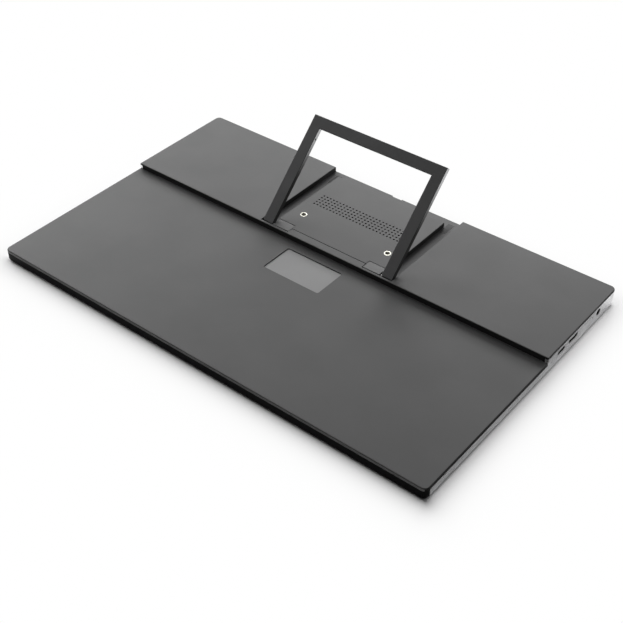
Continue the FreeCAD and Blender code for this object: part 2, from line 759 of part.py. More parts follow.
def make_driver():
    """The screen's driver board on the tray, and the films that lead from it round the tray to the cell."""
    keep("driver_board", block("driver_board", ("driver_x0", "driver_x1"), ("driver_y0", "driver_y1"),
                               ("tray_top", "driver_top")))
    low, low_top = about("flex_mid_z", "flex_height")
    inner, lap, over = "tray_back + flex_bulge", "driver_y1 - flex_lap", "driver_top + flex_height"
    outer = f"{inner} + flex_height"
    route = [("panel_back", low), (outer, low), (outer, over), (lap, over), (lap, "driver_top"),
             (inner, "driver_top"), (inner, low_top), ("panel_back", low_top)]
    films = [outline_body(f"driver_film_{index}", "YZ_Plane", route, *about(flex_x(index), "flex_width"))
             for index in range(FLEXES)]
    keep("driver_films", group("driver_films", *films))


def make_kickstand():
    """A flat U-frame, drawn folded with its hinge axis at the origin, then turned open about that axis."""
    levels = ("-stand_under - overrun", "stand_top + overrun")
    blank = block("stand_blank", both_ways("stand_half"), ("0", "stand_length"), ("-stand_under", "stand_top"))
    opening = block("stand_opening", both_ways("leg_inner"), ("-overrun", "bar_inner"), levels)
    frame = cut("stand_frame", blank, opening)
    faces = [number("stand_top"), -number("stand_under")]
    soft = soften("stand_soft", frame, "stand_edge", lambda edge: any(flat_at(edge, "Z", face) for face in faces))
    knuckles = [rod_x(f"stand_knuckle_{name}", span(side, "leg_inner + stand_edge", "stand_half - stand_edge"),
                      "0", "0", "stand_under") for side, name in SIDES]
    pins = rod_x("stand_pin_hole", both_ways("leg_inner + pin_grip"), "0", "0", "pin_radius")
    dimples = rod_x("stand_dimples", both_ways("leg_inner + dimple_depth"), "stand_length - dimple_setback",
                    "(stand_top - stand_under) / 2", "dimple_radius")
    stand = cut("kickstand", join("stand_hinged", soft, *knuckles), pins, dimples)
    turn = FreeCAD.Rotation(FreeCAD.Vector(1, 0, 0), number("open_angle"))
    stand.Placement = FreeCAD.Placement(FreeCAD.Vector(), turn)
    bind(stand, Placement__Base__y="pivot_y", Placement__Base__z="pivot_z", Placement__Rotation__Angle="open_angle")
    keep("kickstand", stand)


def make_hinges():
    """On each side a block with a friction bush, a pin fixed in the leg, a bracket and its screws."""
    top = number("block_top")
    screws = []
    for side, name in SIDES:
        places = list(enumerate(hinge_screw_places(side)))
        width = span(side, "block_inner", "block_outer")
        through = span(side, "block_inner - overrun", "block_outer + overrun")
        blank = block(f"hinge_blank_{name}", width, ("block_y0", "block_y1"), ("groove_floor", "block_top"))
        soft = soften(f"hinge_soft_{name}", blank, "block_edge", lambda edge: flat_at(edge, "Z", top))
        bore = rod_x(f"hinge_bore_{name}", through, "pivot_y", "pivot_z", "bush_outside")
        tap = ("groove_floor - overrun", "block_top - hinge_screw_cover + screw_clearance")
        taps = [rod_z(f"hinge_tap_{name}_{index}", x, "hinge_screw_y", tap, "hinge_screw_hole")
                for index, x in places]
        keep(f"hinge_block_{name}", cut(f"hinge_block_{name}", soft, bore, *taps))
        outside = rod_x(f"bush_outside_{name}", width, "pivot_y", "pivot_z", "bush_outside")
        inside = rod_x(f"bush_inside_{name}", through, "pivot_y", "pivot_z", "bush_inside")
        keep(f"hinge_bush_{name}", cut(f"hinge_bush_{name}", outside, inside))
        reach = span(side, "block_outer - pin_reach", "leg_inner + pin_grip")
        keep(f"hinge_pin_{name}", rod_x(f"hinge_pin_{name}", reach, "pivot_y", "pivot_z", "pin_radius"))
        plate = block(f"bracket_blank_{name}", span(side, "block_inner", "block_outer + bracket_overhang"),
                      ("block_y0", "block_y0 + bracket_depth"), ("bracket_low", "floor_under"))
        drill = ("bracket_low - overrun", "floor_under + overrun")
        holes = [rod_z(f"bracket_hole_{name}_{index}", x, "hinge_screw_y", drill, "hinge_screw_hole")
                 for index, x in places]
        keep(f"hinge_bracket_{name}", cut(f"hinge_bracket_{name}", plate, *holes))
        for index, x in places:
            head = rod_z(f"hinge_screw_head_{name}_{index}", x, "hinge_screw_y",
                         ("bracket_low - hinge_screw_head_height", "bracket_low"), "hinge_screw_head")
            shank = rod_z(f"hinge_screw_shank_{name}_{index}", x, "hinge_screw_y",
                          ("bracket_low", "block_top - hinge_screw_cover"), "hinge_screw_radius")
            screws.append(join(f"hinge_screw_{name}_{index}", head, shank))
    keep("hinge_screws", group("hinge_screws", *screws))


def speaker_x(side):
    """The middle of a speaker, as a formula of X."""
    return "speaker_pitch / 2" if side > 0 else "-speaker_pitch / 2"


def make_speakers():
    """Two slim speakers on the groove's floor, under the perforations."""
    for side, name in SIDES:
        middle = (speaker_x(side), "hole_row_y")
        case = rounded_slab(f"speaker_case_{name}", "speaker_length", "speaker_depth", "speaker_radius",
                            "groove_floor", "speaker_top", middle=middle)
        dish = rounded_slab(f"speaker_dish_{name}", "speaker_length - 2 * cone_margin",
                            "speaker_depth - 2 * cone_margin", "speaker_radius", "speaker_top - cone_depth",
                            "speaker_top + overrun", middle=middle)
        keep(f"speaker_{name}", cut(f"speaker_{name}", case, dish))


def main_screw_places():
    """The main board's four screws, as formulas of X and Y."""
    columns = ("main_x0 + board_screw_inset", "board_edge - port_screw_inset")
    return [(x, y) for x in columns for y in ("main_screw_y", "jack_screw_y")]


def button_screw_places():
    """The button board's two screws, as formulas of X and Y."""
    x = "button_x1 - board_screw_inset"
    return [(x, "button_y0 + button_screw_margin"), (x, "button_y1 - button_screw_margin")]


def make_boards():
    """The main board and the button board, with their spacers and screws."""
    level = ("board_low", "board_top")
    through = ("board_low - overrun", "board_top + overrun")
    main = block("main_board_blank", ("main_x0", "board_edge"), ("main_y0", "main_y1"), level)
    jack_room = block("main_board_jack_room", ("jack_back - jack_gap", "board_edge + overrun"),
                      about("jack_y", "jack_width + 2 * jack_gap"), through)
    holes = [rod_z(f"main_board_hole_{index}", x, y, through, "board_hole")
             for index, (x, y) in enumerate(main_screw_places())]
    keep("main_board", cut("main_board", main, jack_room, *holes))
    small = block("button_board_blank", ("-board_edge", "button_x1"), ("button_y0", "button_y1"), level)
    holes = [rod_z(f"button_board_hole_{index}", x, y, through, "board_hole")
             for index, (x, y) in enumerate(button_screw_places())]
    keep("button_board", cut("button_board", small, *holes))
    spacers, screws = [], []
    for index, (x, y) in enumerate(main_screw_places() + button_screw_places()):
        post = rod_z(f"spacer_post_{index}", x, y, ("tray_top", "board_low"), "spacer_radius")
        tap = rod_z(f"spacer_tap_{index}", x, y, ("tray_top + spacer_floor", "board_low + overrun"),
                    "board_screw_radius + screw_clearance")
        spacers.append(cut(f"spacer_{index}", post, tap))
        head = rod_z(f"board_screw_head_{index}", x, y, ("board_top", "board_top + board_screw_head_height"),
                     "board_screw_head")
        shank = rod_z(f"board_screw_shank_{index}", x, y, ("tray_top + 2 * spacer_floor", "board_top"),
                      "board_screw_radius")
        screws.append(join(f"board_screw_{index}", head, shank))
    keep("board_spacers", group("board_spacers", *spacers))
    keep("board_screws", group("board_screws", *screws))


def make_board_parts():
    """The controller chip, and the power coils under their shield."""
    x0, y0, y1 = "main_x0 + chip_setback", "main_y0 + chip_setback", "main_y1 - shield_setback"
    keep("controller_chip", block("controller_chip", (x0, f"{x0} + chip_size"), (y0, f"{y0} + chip_size"),
                                  ("board_top", "board_top + chip_height")))
    mid_x, mid_y = f"{x0} + shield_length / 2", f"{y1} - shield_depth / 2"
    can = block("shield_blank", about(mid_x, "shield_length"), about(mid_y, "shield_depth"),
                ("board_top", "board_top + shield_height"))
    room = block("shield_room", about(mid_x, "shield_length - 2 * shield_wall"),
                 about(mid_y, "shield_depth - 2 * shield_wall"),
                 ("board_top - overrun", "board_top + shield_height - shield_wall"))
    keep("power_shield", cut("power_shield", can, room))
    coils = [block(f"coil_{index}", about(f"{mid_x} + ({index - (COILS - 1) / 2}) * coil_pitch", "coil_size"),
                   about(mid_y, "coil_size"), ("board_top", "board_top + coil_height")) for index in range(COILS)]
    keep("power_coils", group("power_coils", *coils))


def ribbon(label, side_view, y):
    """A flat cable with this outline in X and Z, as wide as the pair of formulas y."""
    keep(label, outline_body(label, "XZ_Plane", side_view, f"-({y[1]})", f"-({y[0]})"))


def make_ribbons():
    """Flat cables from the driver board, the button board and the speakers to the main board."""
    panel_y = about("driver_mid", "panel_ribbon_width")
    button_y = about("button_ribbon_y", "button_ribbon_width")
    lead_y = about("lead_y", "lead_width")
    driver_high = "driver_top + connector_height"
    driver_end, main_end = "driver_x1 - connector_length", "main_x0 + connector_length"
    left_end, right_end = "button_x1 - connector_length / 2", "main_x0 + connector_length / 2"
    main_seat = ("main_x0", right_end)
    seats = [
        block("driver_seat", (driver_end, "driver_x1"), panel_y, ("driver_top", driver_high)),
        block("panel_seat", ("main_x0", main_end), panel_y, ("board_top", "connector_top")),
        block("button_seat", (left_end, "button_x1"), button_y, ("board_top", "connector_top")),
        block("side_seat", main_seat, button_y, ("board_top", "connector_top")),
        block("lead_seat", main_seat, lead_y, ("board_top", "lead_low")),
    ]
    keep("ribbon_sockets", group("ribbon_sockets", *seats))
    over, driver_over = "connector_top + ribbon_height", f"{driver_high} + ribbon_height"
    ribbon("panel_ribbon", [(driver_end, driver_high), ("driver_x1", driver_high), ("main_x0", "connector_top"),
                            (main_end, "connector_top"), (main_end, over), ("main_x0", over),
                            ("driver_x1", driver_over), (driver_end, driver_over)], panel_y)
    left_foot, right_foot = "button_x1 + ribbon_ramp", "main_x0 - ribbon_ramp"
    flat_over = "tray_top + ribbon_height"
    ribbon("button_ribbon", [
        (left_end, "connector_top"), ("button_x1", "connector_top"), (left_foot, "tray_top"),
        (right_foot, "tray_top"), ("main_x0", "connector_top"), (right_end, "connector_top"),
        (right_end, over), ("main_x0 - ribbon_height", over), (f"{right_foot} - ribbon_height", flat_over),
        (f"{left_foot} + ribbon_height", flat_over), ("button_x1 + ribbon_height", over), (left_end, over)], button_y)
    far, near = (about(speaker_x(side), "ribbon_height") for side in (-1, 1))
    ribbon("speaker_lead", [
        (far[0], "lead_low"), (right_end, "lead_low"), (right_end, "lead_top"), (near[1], "lead_top"),
        (near[1], "groove_floor"), (near[0], "groove_floor"), (near[0], "lead_top"), (far[1], "lead_top"),
        (far[1], "groove_floor"), (far[0], "groove_floor")], lead_y)


def make_sockets():
    """The data socket, the video socket, the audio jack and the status light, on the main board."""
    usb_x, usb_hollow = ("port_mouth - usb_depth", "port_mouth"), "port_mouth - usb_depth + shell_wall"
    past, tongue_tip = "port_mouth + overrun", "port_mouth - tongue_setback"
    tongue_z = about("port_z", "tongue_height")
    shell = cut("usb_shell", stadium("usb_outside", usb_x, "usb_y", "port_z", "usb_width", "usb_height"),
                stadium("usb_inside", (usb_hollow, past), "usb_y", "port_z",
                        "usb_width - 2 * shell_wall", "usb_height - 2 * shell_wall"))
    tongue = block("usb_tongue", (usb_x[0], tongue_tip), about("usb_y", "usb_width - 2 * tongue_margin"), tongue_z)
    keep("usb_socket", join("usb_socket", shell, tongue))
    video_x, video_hollow = ("port_mouth - video_depth", "port_mouth"), "port_mouth - video_depth + shell_wall"
    shell = cut("video_shell", outline_body("video_outside", "YZ_Plane", video_outline("0"), *video_x),
                outline_body("video_inside", "YZ_Plane", video_outline("(-shell_wall)"), video_hollow, past))
    tongue = block("video_tongue", (video_x[0], tongue_tip),
                   about("video_y", "video_width - 2 * tongue_margin - 2 * video_taper"), tongue_z)
    keep("video_socket", join("video_socket", shell, tongue))
    body = block("jack_body", ("jack_back", "jack_face"), about("jack_y", "jack_width"),
                 about("jack_z", "jack_body_height"))
    nose = rod_x("jack_nose_rod", ("jack_face", "port_mouth"), "jack_y", "jack_z", "jack_nose")
    bore = rod_x("jack_bore_rod", ("jack_back + skin", past), "jack_y", "jack_z", "jack_bore")
    keep("audio_jack", cut("audio_jack", join("jack_blank", body, nose), bore))
    foot = block("light_foot_block", ("board_edge - light_foot", "board_edge"), about("light_y", "light_foot"),
                 ("board_top", "port_z + light_radius"))
    pipe = rod_x("light_pipe", ("board_edge - light_foot", "port_mouth"), "light_y", "port_z", "light_radius")
    keep("status_light", join("status_light", foot, pipe))


def make_buttons():
    """Three push buttons in the left rail, each with a lip behind the rail and a switch behind the lip."""
    switches = []
    for name in BUTTONS:
        y = f"{name}_y"
        cap = stadium(f"{name}_cap", span(-1, "lip_inner", "half_length"), y, "port_z",
                      "button_width", "button_height")
        lip = stadium(f"{name}_lip", span(-1, "lip_inner", "lip_outer"), y, "port_z",
                      "button_width + 2 * button_lip", "button_height + 2 * button_lip")
        keep(f"{name}_button", join(f"{name}_button", cap, lip))
        case = block(f"{name}_switch_case", span(-1, "switch_face - switch_depth", "switch_face"),
                     about(y, "switch_width"), ("board_top", "board_top + switch_height"))
        plunger = block(f"{name}_plunger", span(-1, "switch_face", "plunger_tip"), about(y, "plunger_width"),
                        about("port_z", "plunger_height"))
        switches.append(join(f"{name}_switch", case, plunger))
    keep("button_switches", group("button_switches", *switches))


def check_and_write():
    """Stop on any failed object or bad shape, then write each piece to its own file."""
    doc.recompute()
    failed = [item.Name for item in doc.Objects if "Invalid" in item.State or "Error" in item.State]
    if failed:
        raise RuntimeError("failed objects: " + ", ".join(failed))
    for label, item in pieces.items():
        if item.Shape.isNull() or not item.Shape.isValid() or not item.Shape.Solids:
            raise RuntimeError("bad shape: " + label)
    os.makedirs("parts", exist_ok=True)
    for label, item in pieces.items():
        item.Shape.exportStep(f"parts/{label}.step")
        print(label, len(item.Shape.Solids), round(item.Shape.Volume, 2))


fill_sheet()
make_rear_cover()
make_centre_plate()
make_inserts()
make_label_and_pads()
make_side_rails()
make_end_rails()
make_screen()
make_driver()
make_kickstand()
make_hinges()
make_speakers()
make_boards()
make_board_parts()
make_ribbons()
make_sockets()
make_buttons()
check_and_write()
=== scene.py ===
"""Dresses the portable monitor: a finish for every node, small added pieces, studio light and camera."""

import logging
import math
from abc import ABC, abstractmethod
from dataclasses import dataclass, field
from enum import Enum
from typing import Any, Mapping, Optional, Sequence, Union

import bmesh
import bpy
from mathutils import Matrix, Vector


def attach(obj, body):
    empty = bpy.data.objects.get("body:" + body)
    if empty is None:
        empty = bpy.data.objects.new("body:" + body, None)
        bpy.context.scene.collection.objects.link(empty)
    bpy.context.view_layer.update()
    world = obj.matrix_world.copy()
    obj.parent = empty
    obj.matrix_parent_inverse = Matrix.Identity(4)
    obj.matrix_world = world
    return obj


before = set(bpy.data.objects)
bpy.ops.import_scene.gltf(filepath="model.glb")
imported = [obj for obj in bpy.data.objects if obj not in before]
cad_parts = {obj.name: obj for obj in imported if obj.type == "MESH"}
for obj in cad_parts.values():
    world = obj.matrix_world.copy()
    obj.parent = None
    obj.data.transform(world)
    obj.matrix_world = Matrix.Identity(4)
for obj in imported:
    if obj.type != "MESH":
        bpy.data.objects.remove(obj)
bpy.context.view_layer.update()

LOG = logging.getLogger("portable_monitor")
MM = 0.001
Colour = tuple[float, float, float]
Value = Union["Signal", float, Sequence[float]]
Span = tuple[float, float]
MIDDLE: Span = (0.3, 0.7)


class Axis(Enum):
    """A direction of the shared frame."""

    X = 0
    Y = 1
    Z = 2


class Body(Enum):
    """The body that added pieces ride on."""

    MONITOR = "monitor"


class Side(Enum):
    """The two ends of the body."""

    RIGHT = 1
    LEFT = -1


class Signal:
    """A node's output socket, with arithmetic on values."""

    def __init__(self, graph: "Graph", socket: bpy.types.NodeSocket) -> None:
        """Wrap one output socket of a graph."""
        self.graph = graph
        self.socket = socket

    def maths(self, operation: str, *values: Value) -> "Signal":
        """Add a Math node.

        Args:
            operation: the Math node's operation.
            values: its inputs in order.

        Returns:
            The node's result.
        """
        return self.graph.node("ShaderNodeMath", {"operation": operation}, dict(enumerate(values)))

    def __add__(self, other: Value) -> "Signal":
        """This plus other."""
        return self.maths("ADD", self, other)

    def __sub__(self, other: Value) -> "Signal":
        """This minus other."""
        return self.maths("SUBTRACT", self, other)

    def __rsub__(self, other: Value) -> "Signal":
        """Other minus this."""
        return self.maths("SUBTRACT", other, self)

    def __mul__(self, other: Value) -> "Signal":
        """This times other."""
        return self.maths("MULTIPLY", self, other)

    def __truediv__(self, other: Value) -> "Signal":
        """This divided by other."""
        return self.maths("DIVIDE", self, other)

    def __pow__(self, power: float) -> "Signal":
        """This to a power."""
        return self.maths("POWER", self, power)

    def __abs__(self) -> "Signal":
        """This without its sign."""
        return self.maths("ABSOLUTE", self)

    def fraction(self) -> "Signal":
        """The part after the decimal point."""
        return self.maths("FRACT", self)

    def sine(self) -> "Signal":
        """The sine of this angle in radians."""
        return self.maths("SINE", self)

    def fading(self, reach: float) -> "Signal":
        """One at zero, and falling to nothing over a few times this reach."""
        return self.maths("EXPONENT", self / -reach)

    def larger(self, other: Value) -> "Signal":
        """The larger of this and other."""
        return self.maths("MAXIMUM", self, other)

    def smaller(self, other: Value) -> "Signal":
        """The smaller of this and other."""
        return self.maths("MINIMUM", self, other)

    def ramp(self, low: float, high: float) -> "Signal":
        """A smooth step.

        Args:
            low: where it is zero.
            high: where it is one; it may be below low.

        Returns:
            A value from zero to one.
        """
        settings = {"interpolation_type": "SMOOTHSTEP"}
        inputs = {"Value": self, "From Min": low, "From Max": high, "To Min": 0.0, "To Max": 1.0}
        if low > high:
            inputs.update({"From Min": high, "From Max": low, "To Min": 1.0, "To Max": 0.0})
        return self.graph.node("ShaderNodeMapRange", settings, inputs)


class Graph:
    """A node tree that is built by short calls."""

    def __init__(self, tree: bpy.types.NodeTree) -> None:
        """Take over a node tree."""
        self.tree = tree

    def node(self, kind: str, settings: Optional[Mapping[str, Any]] = None,
             inputs: Optional[Mapping[Union[int, str], Any]] = None, output: Union[int, str] = 0) -> Signal:
        """Add any node.

        Args:
            kind: the node's type.
            settings: its settings, which are set first.
            inputs: values or signals for its sockets.
            output: the socket that is wanted.

        Returns:
            That output as a signal.
        """
        node = self.tree.nodes.new(kind)
        for name, setting in (settings or {}).items():
            setattr(node, name, setting)
        for name, value in (inputs or {}).items():
            self.feed(node.inputs[name], value)
        return Signal(self, node.outputs[output])

    def feed(self, socket: bpy.types.NodeSocket, value: Value) -> None:
        """Link a signal to a socket, or set its value."""
        if isinstance(value, Signal):
            self.tree.links.new(value.socket, socket)
        elif isinstance(value, (int, float)):
            socket.default_value = value
        else:
            room = len(socket.default_value)
            socket.default_value = (*value, 1.0)[:room]

    def place(self) -> Signal:
        """The point in the shared frame, in metres."""
        return self.node("ShaderNodeTexCoord", output="Object")

    def stretched(self, sizes_mm: Sequence[float]) -> Signal:
        """The point measured in cells of these sizes along X, Y and Z."""
        cells = tuple(1.0 / (size * MM) for size in sizes_mm)
        return self.node("ShaderNodeVectorMath", {"operation": "MULTIPLY"}, {0: self.place(), 1: cells})

    def axes_mm(self) -> tuple[Signal, Signal, Signal]:
        """The point's X, Y and Z in millimetres."""
        split = self.stretched((1.0, 1.0, 1.0))
        node = self.tree.nodes.new("ShaderNodeSeparateXYZ")
        self.feed(node.inputs[0], split)
        return tuple(Signal(self, socket) for socket in node.outputs)

    def leaning(self, axis: Axis) -> Signal:
        """How far the surface faces along an axis, from minus one to one."""
        normal = self.node("ShaderNodeTexCoord", output="Normal")
        return self.node("ShaderNodeSeparateXYZ", inputs={0: normal}, output=axis.value)

    def facing(self, axis: Axis) -> Signal:
        """How far the surface faces along an axis, either way, from zero to one."""
        return abs(self.leaning(axis))

    def noise(self, sizes_mm: Sequence[float], detail: float = 2.0) -> Signal:
        """Soft noise with grains of these sizes.

        Args:
            sizes_mm: the grain along X, Y and Z.
            detail: how many finer layers it has.

        Returns:
            A value around a half.
        """
        inputs = {"Vector": self.stretched(sizes_mm), "Scale": 1.0, "Detail": detail}
        return self.node("ShaderNodeTexNoise", None, inputs)

    def cells(self, size_mm: float) -> Signal:
        """The distance to scattered points about this far apart."""
        inputs = {"Vector": self.stretched((size_mm,) * 3), "Scale": 1.0}
        return self.node("ShaderNodeTexVoronoi", None, inputs, "Distance")

    def mix(self, share: Value, first: Value, second: Value) -> Signal:
        """A colour from first, where the share is zero, to second, where it is one."""
        return self.node("ShaderNodeMix", {"data_type": "RGBA"}, {0: share, 6: first, 7: second}, 2)

    def bump(self, height: Signal, depth_mm: float) -> Signal:
        """A normal from a height.

        Args:
            height: from zero to one.
            depth_mm: how deep one is.

        Returns:
            The bent normal.
        """
        inputs = {"Height": height, "Distance": depth_mm * MM, "Strength": 1.0}
        return self.node("ShaderNodeBump", None, inputs)


def shade(colour: Colour, factor: float) -> Colour:
    """The colour made lighter or darker by a factor."""
    return tuple(min(1.0, part * factor) for part in colour)


@dataclass(frozen=True)
class Finish(ABC):
    """What a surface is made of and how it looks."""

    name: str
    colour: Colour
    roughness: float = 0.5
    specular: float = 0.4

    def material(self) -> bpy.types.Material:
        """The finish as a material, made at its first use."""
        made = bpy.data.materials.get(self.name)
        return made if made is not None else self.make()

    def make(self) -> bpy.types.Material:
        """Make the material and paint it."""
        material = bpy.data.materials.new(self.name)
        material.use_nodes = True
        graph = Graph(material.node_tree)
        shader = material.node_tree.nodes["Principled BSDF"]
        constants = {"Roughness": self.roughness, "Specular IOR Level": self.specular}
        for name, value in {**constants, **self.paint(graph)}.items():
            graph.feed(shader.inputs[name], value)
        material.diffuse_color = (*self.colour, 1.0)
        return material

    @abstractmethod
    def paint(self, graph: Graph) -> dict[str, Value]:
        """Add the finish's nodes.

        Args:
            graph: the material's node tree.

        Returns:
            What goes into the shader's sockets.
        """


@dataclass(frozen=True)
class GrainedPlastic(Finish):
    """Moulded plastic with a fine spark grain and faint traces of handling."""

    grain_mm: float = 0.4
    depth_mm: float = 0.02
    patch_mm: float = 35.0
    mottle: float = 0.06
    handling: float = 0.10
    patch_spread: Span = (0.32, 0.68)
    wipe_spread: Span = (0.35, 0.7)
    grain_spread: Span = (0.35, 0.65)
    patch_share: float = 0.65
    pit_share: float = 0.45
    pit_spacing: float = 1.8
    usual_wipe: float = 0.4
    grain_roughness: float = 0.12

    def paint(self, graph: Graph) -> dict[str, Value]:
        """Add the finish's nodes."""
        patches = graph.noise((self.patch_mm,) * 3, 4.0).ramp(*self.patch_spread)
        wipe_mm = (self.patch_mm * 1.4, self.patch_mm * 0.8, self.patch_mm)
        wipes = graph.noise(wipe_mm, 5.0).ramp(*self.wipe_spread)
        grain = graph.noise((self.grain_mm,) * 3, 2.0)
        pits = graph.cells(self.grain_mm * self.pit_spacing)
        cloud = patches * self.patch_share + grain.ramp(*self.grain_spread) * (1.0 - self.patch_share)
        darker, lighter = shade(self.colour, 1.0 - self.mottle), shade(self.colour, 1.0 + self.mottle)
        handled = (wipes - self.usual_wipe) * self.handling
        rough = handled + (grain - 0.5) * self.grain_roughness + self.roughness
        height = grain * (1.0 - self.pit_share) + pits * self.pit_share
        return {"Base Color": graph.mix(cloud, darker, lighter), "Roughness": rough,
                "Normal": graph.bump(height, self.depth_mm)}


@dataclass(frozen=True)
class EdgeHighlightPaint(GrainedPlastic):
    """Paint over metal, lighter on every face that turns away from level: a painted highlight along its
    rounded edges and sides.
    """

    edge_highlight_gain: float = 2.4
    edge_lean: Span = (0.99, 0.85)

    def paint(self, graph: Graph) -> dict[str, Value]:
        """Add the finish's nodes."""
        sockets = super().paint(graph)
        # Painted highlight: faces that turn away from level get a lighter colour.
        painted_edge_highlight = graph.facing(Axis.Z).ramp(*self.edge_lean)
        highlight_colour = shade(self.colour, self.edge_highlight_gain)
        return {**sockets, "Base Color": graph.mix(painted_edge_highlight, sockets["Base Color"], highlight_colour)}


@dataclass(frozen=True)
class CoverPlastic(GrainedPlastic):
    """Grained plastic that is grey on its upper faces; painted shade makes its other walls and its side
    roundings near black, and painted light makes its front edge lighter.
    """

    painted_wall_shade: float = 0.06
    painted_front_light: float = 2.7
    side_x_mm: float = 179.2
    front_y_mm: float = -111.2
    blend_mm: float = 0.15
    wall_lean: Span = (0.1, 0.45)
    side_lean: Span = (0.95, 0.985)

    def paint(self, graph: Graph) -> dict[str, Value]:
        """Add the finish's nodes."""
        sockets = super().paint(graph)
        x, y, _ = graph.axes_mm()
        upward = graph.facing(Axis.Z)
        side = abs(x).ramp(self.side_x_mm, self.side_x_mm + self.blend_mm)
        front = y.ramp(self.front_y_mm, self.front_y_mm - self.blend_mm)
        # Painted shade on the walls and side roundings, painted light on the front edge.
        grey = upward.ramp(*self.wall_lean) * (1.0 - side) + upward.ramp(*self.side_lean) * side
        painted_walls = graph.mix(front, shade(self.colour, self.painted_wall_shade), shade(self.colour, self.painted_front_light))
        return {**sockets, "Base Color": graph.mix(grey, painted_walls, sockets["Base Color"])}


@dataclass(frozen=True)
class BrushedMetal(Finish):
    """Metal with fine streaks along one axis."""

    along: Axis = Axis.Y
    streak_mm: float = 0.25
    length_mm: float = 40.0
    contrast: float = 0.06
    depth_mm: float = 0.004
    worn_mm: float = 14.0
    worn_spread: Span = (0.35, 0.7)

    def paint(self, graph: Graph) -> dict[str, Value]:
        """Add the finish's nodes."""
        fine, broad = [self.streak_mm] * 3, [self.streak_mm * 6] * 3
        fine[self.along.value], broad[self.along.value] = self.length_mm, self.length_mm * 2
        streaks = graph.noise(fine, 3.0)
        bands = graph.noise(broad, 2.0)
        worn = graph.noise((self.worn_mm,) * 3, 4.0).ramp(*self.worn_spread)
        tone = streaks * 0.5 + bands * 0.5
        colour = graph.mix(tone.ramp(*MIDDLE), shade(self.colour, 1.0 - self.contrast),
                           shade(self.colour, 1.0 + self.contrast))
        rough = (tone - 0.5) * 0.25 + (worn - 0.5) * 0.08 + self.roughness
        return {"Base Color": colour, "Metallic": 1.0, "Roughness": rough,
                "Normal": graph.bump(streaks, self.depth_mm)}


@dataclass(frozen=True)
class SocketShell(BrushedMetal):
    """Near-black sheet metal that turns darker further in, a painted shade of the socket's depth."""

    mouth_x_mm: float = 179.7
    inside: Colour = (0.008, 0.008, 0.008)
    lip_mm: float = 0.05
    deep_mm: float = 0.5

    def paint(self, graph: Graph) -> dict[str, Value]:
        """Add the finish's nodes."""
        sockets = super().paint(graph)
        x, _, _ = graph.axes_mm()
        # Painted shade: the colour darkens towards the inside colour further into the socket.
        depth_shade = x.ramp(self.mouth_x_mm - self.lip_mm, self.mouth_x_mm - self.deep_mm)
        return {**sockets, "Base Color": graph.mix(depth_shade, sockets["Base Color"], self.inside)}


@dataclass(frozen=True)
class AnodisedFrame(Finish):
    """Dark blasted anodising. Painted shade makes its under faces and its sides black; higher up, its sides
    and a faint strip on its upper faces turn to bright cut metal, a painted reflection that grows with
    height.
    """

    shaded_side_colour: Colour = (0.003, 0.003, 0.003)
    cut_colour: Colour = (0.5, 0.5, 0.505)
    cut_roughness: float = 0.25
    grain_mm: float = 0.35
    highlight_low_z_mm: float = 35.0
    highlight_high_z_mm: float = 66.0
    cloud_mm: float = 26.0
    line_mm: tuple[float, float, float] = (60.0, 0.3, 0.3)
    depth_mm: float = 0.016
    under_lean: Span = (-0.3, -0.6)
    side_lean: Span = (0.1, 0.35)
    cut_lean: Span = (0.88, 0.97)
    top_lean: Span = (0.78, 0.93)
    top_highlight_share: float = 0.15

    def paint(self, graph: Graph) -> dict[str, Value]:
        """Add the finish's nodes."""
        _, _, z = graph.axes_mm()
        across, upward, backward = graph.facing(Axis.X), graph.leaning(Axis.Z), graph.leaning(Axis.Y)
        # Painted shade: under faces and sides are made black.
        under = upward.ramp(*self.under_lean) * backward.ramp(*self.under_lean)
        sides = across.ramp(*self.side_lean).larger(under)
        edges = across.ramp(*self.cut_lean).larger(upward.ramp(*self.top_lean) * self.top_highlight_share)
        # Painted reflection and highlight: the cut metal shows only higher up.
        cut = edges * z.ramp(self.highlight_low_z_mm, self.highlight_high_z_mm)
        grain = graph.noise((self.grain_mm,) * 3, 2.0)
        cloud = graph.noise((self.cloud_mm,) * 3, 4.0).ramp(*MIDDLE)
        lines = graph.noise(self.line_mm, 2.0)
        dark = graph.mix(cloud * 0.6 + grain * 0.4, shade(self.colour, 0.9), shade(self.colour, 1.12))
        bright = graph.mix(lines.ramp(*MIDDLE), shade(self.cut_colour, 0.92), shade(self.cut_colour, 1.06))
        faces = graph.mix(sides, dark, self.shaded_side_colour)
        rough = (cloud - 0.5) * 0.10 + (grain - 0.5) * 0.14 + self.roughness
        smooth = (lines - 0.5) * 0.2 + self.cut_roughness
        return {"Base Color": graph.mix(cut, faces, bright), "Metallic": cut,
                "Roughness": rough * (1.0 - cut) + smooth * cut,
                "Normal": graph.bump(grain * (1.0 - cut * 0.8), self.depth_mm)}


@dataclass(frozen=True)
class TurnedMetal(Finish):
    """Metal turned on a lathe about upright axes, one on each side of the middle, with painted shade inside
    the bore.
    """

    axis_x_mm: float = 37.5
    axis_y_mm: float = 47.4
    ring_mm: float = 0.22
    depth_mm: float = 0.01
    bore_mm: Span = (1.95, 1.75)
    dark: Colour = (0.03, 0.028, 0.024)

    def paint(self, graph: Graph) -> dict[str, Value]:
        """Add the finish's nodes."""
        x, y, _ = graph.axes_mm()
        off_x, off_y = abs(x) - self.axis_x_mm, y - self.axis_y_mm
        radius = (off_x * off_x + off_y * off_y) ** 0.5
        rings = (radius * (math.tau / self.ring_mm)).sine() * 0.5 + 0.5
        spots = graph.noise((0.5,) * 3, 3.0)
        edge = (spots - 0.5) * 0.3 + radius
        # Painted shade: the bore turns dark.
        bore = edge.ramp(*self.bore_mm)
        plain = graph.mix(spots.ramp(*MIDDLE), shade(self.colour, 0.9), shade(self.colour, 1.06))
        rough = (spots - 0.5) * 0.25 + rings * 0.06 + self.roughness
        return {"Base Color": graph.mix(bore, plain, self.dark), "Metallic": 1.0, "Roughness": rough,
                "Normal": graph.bump(rings, self.depth_mm)}


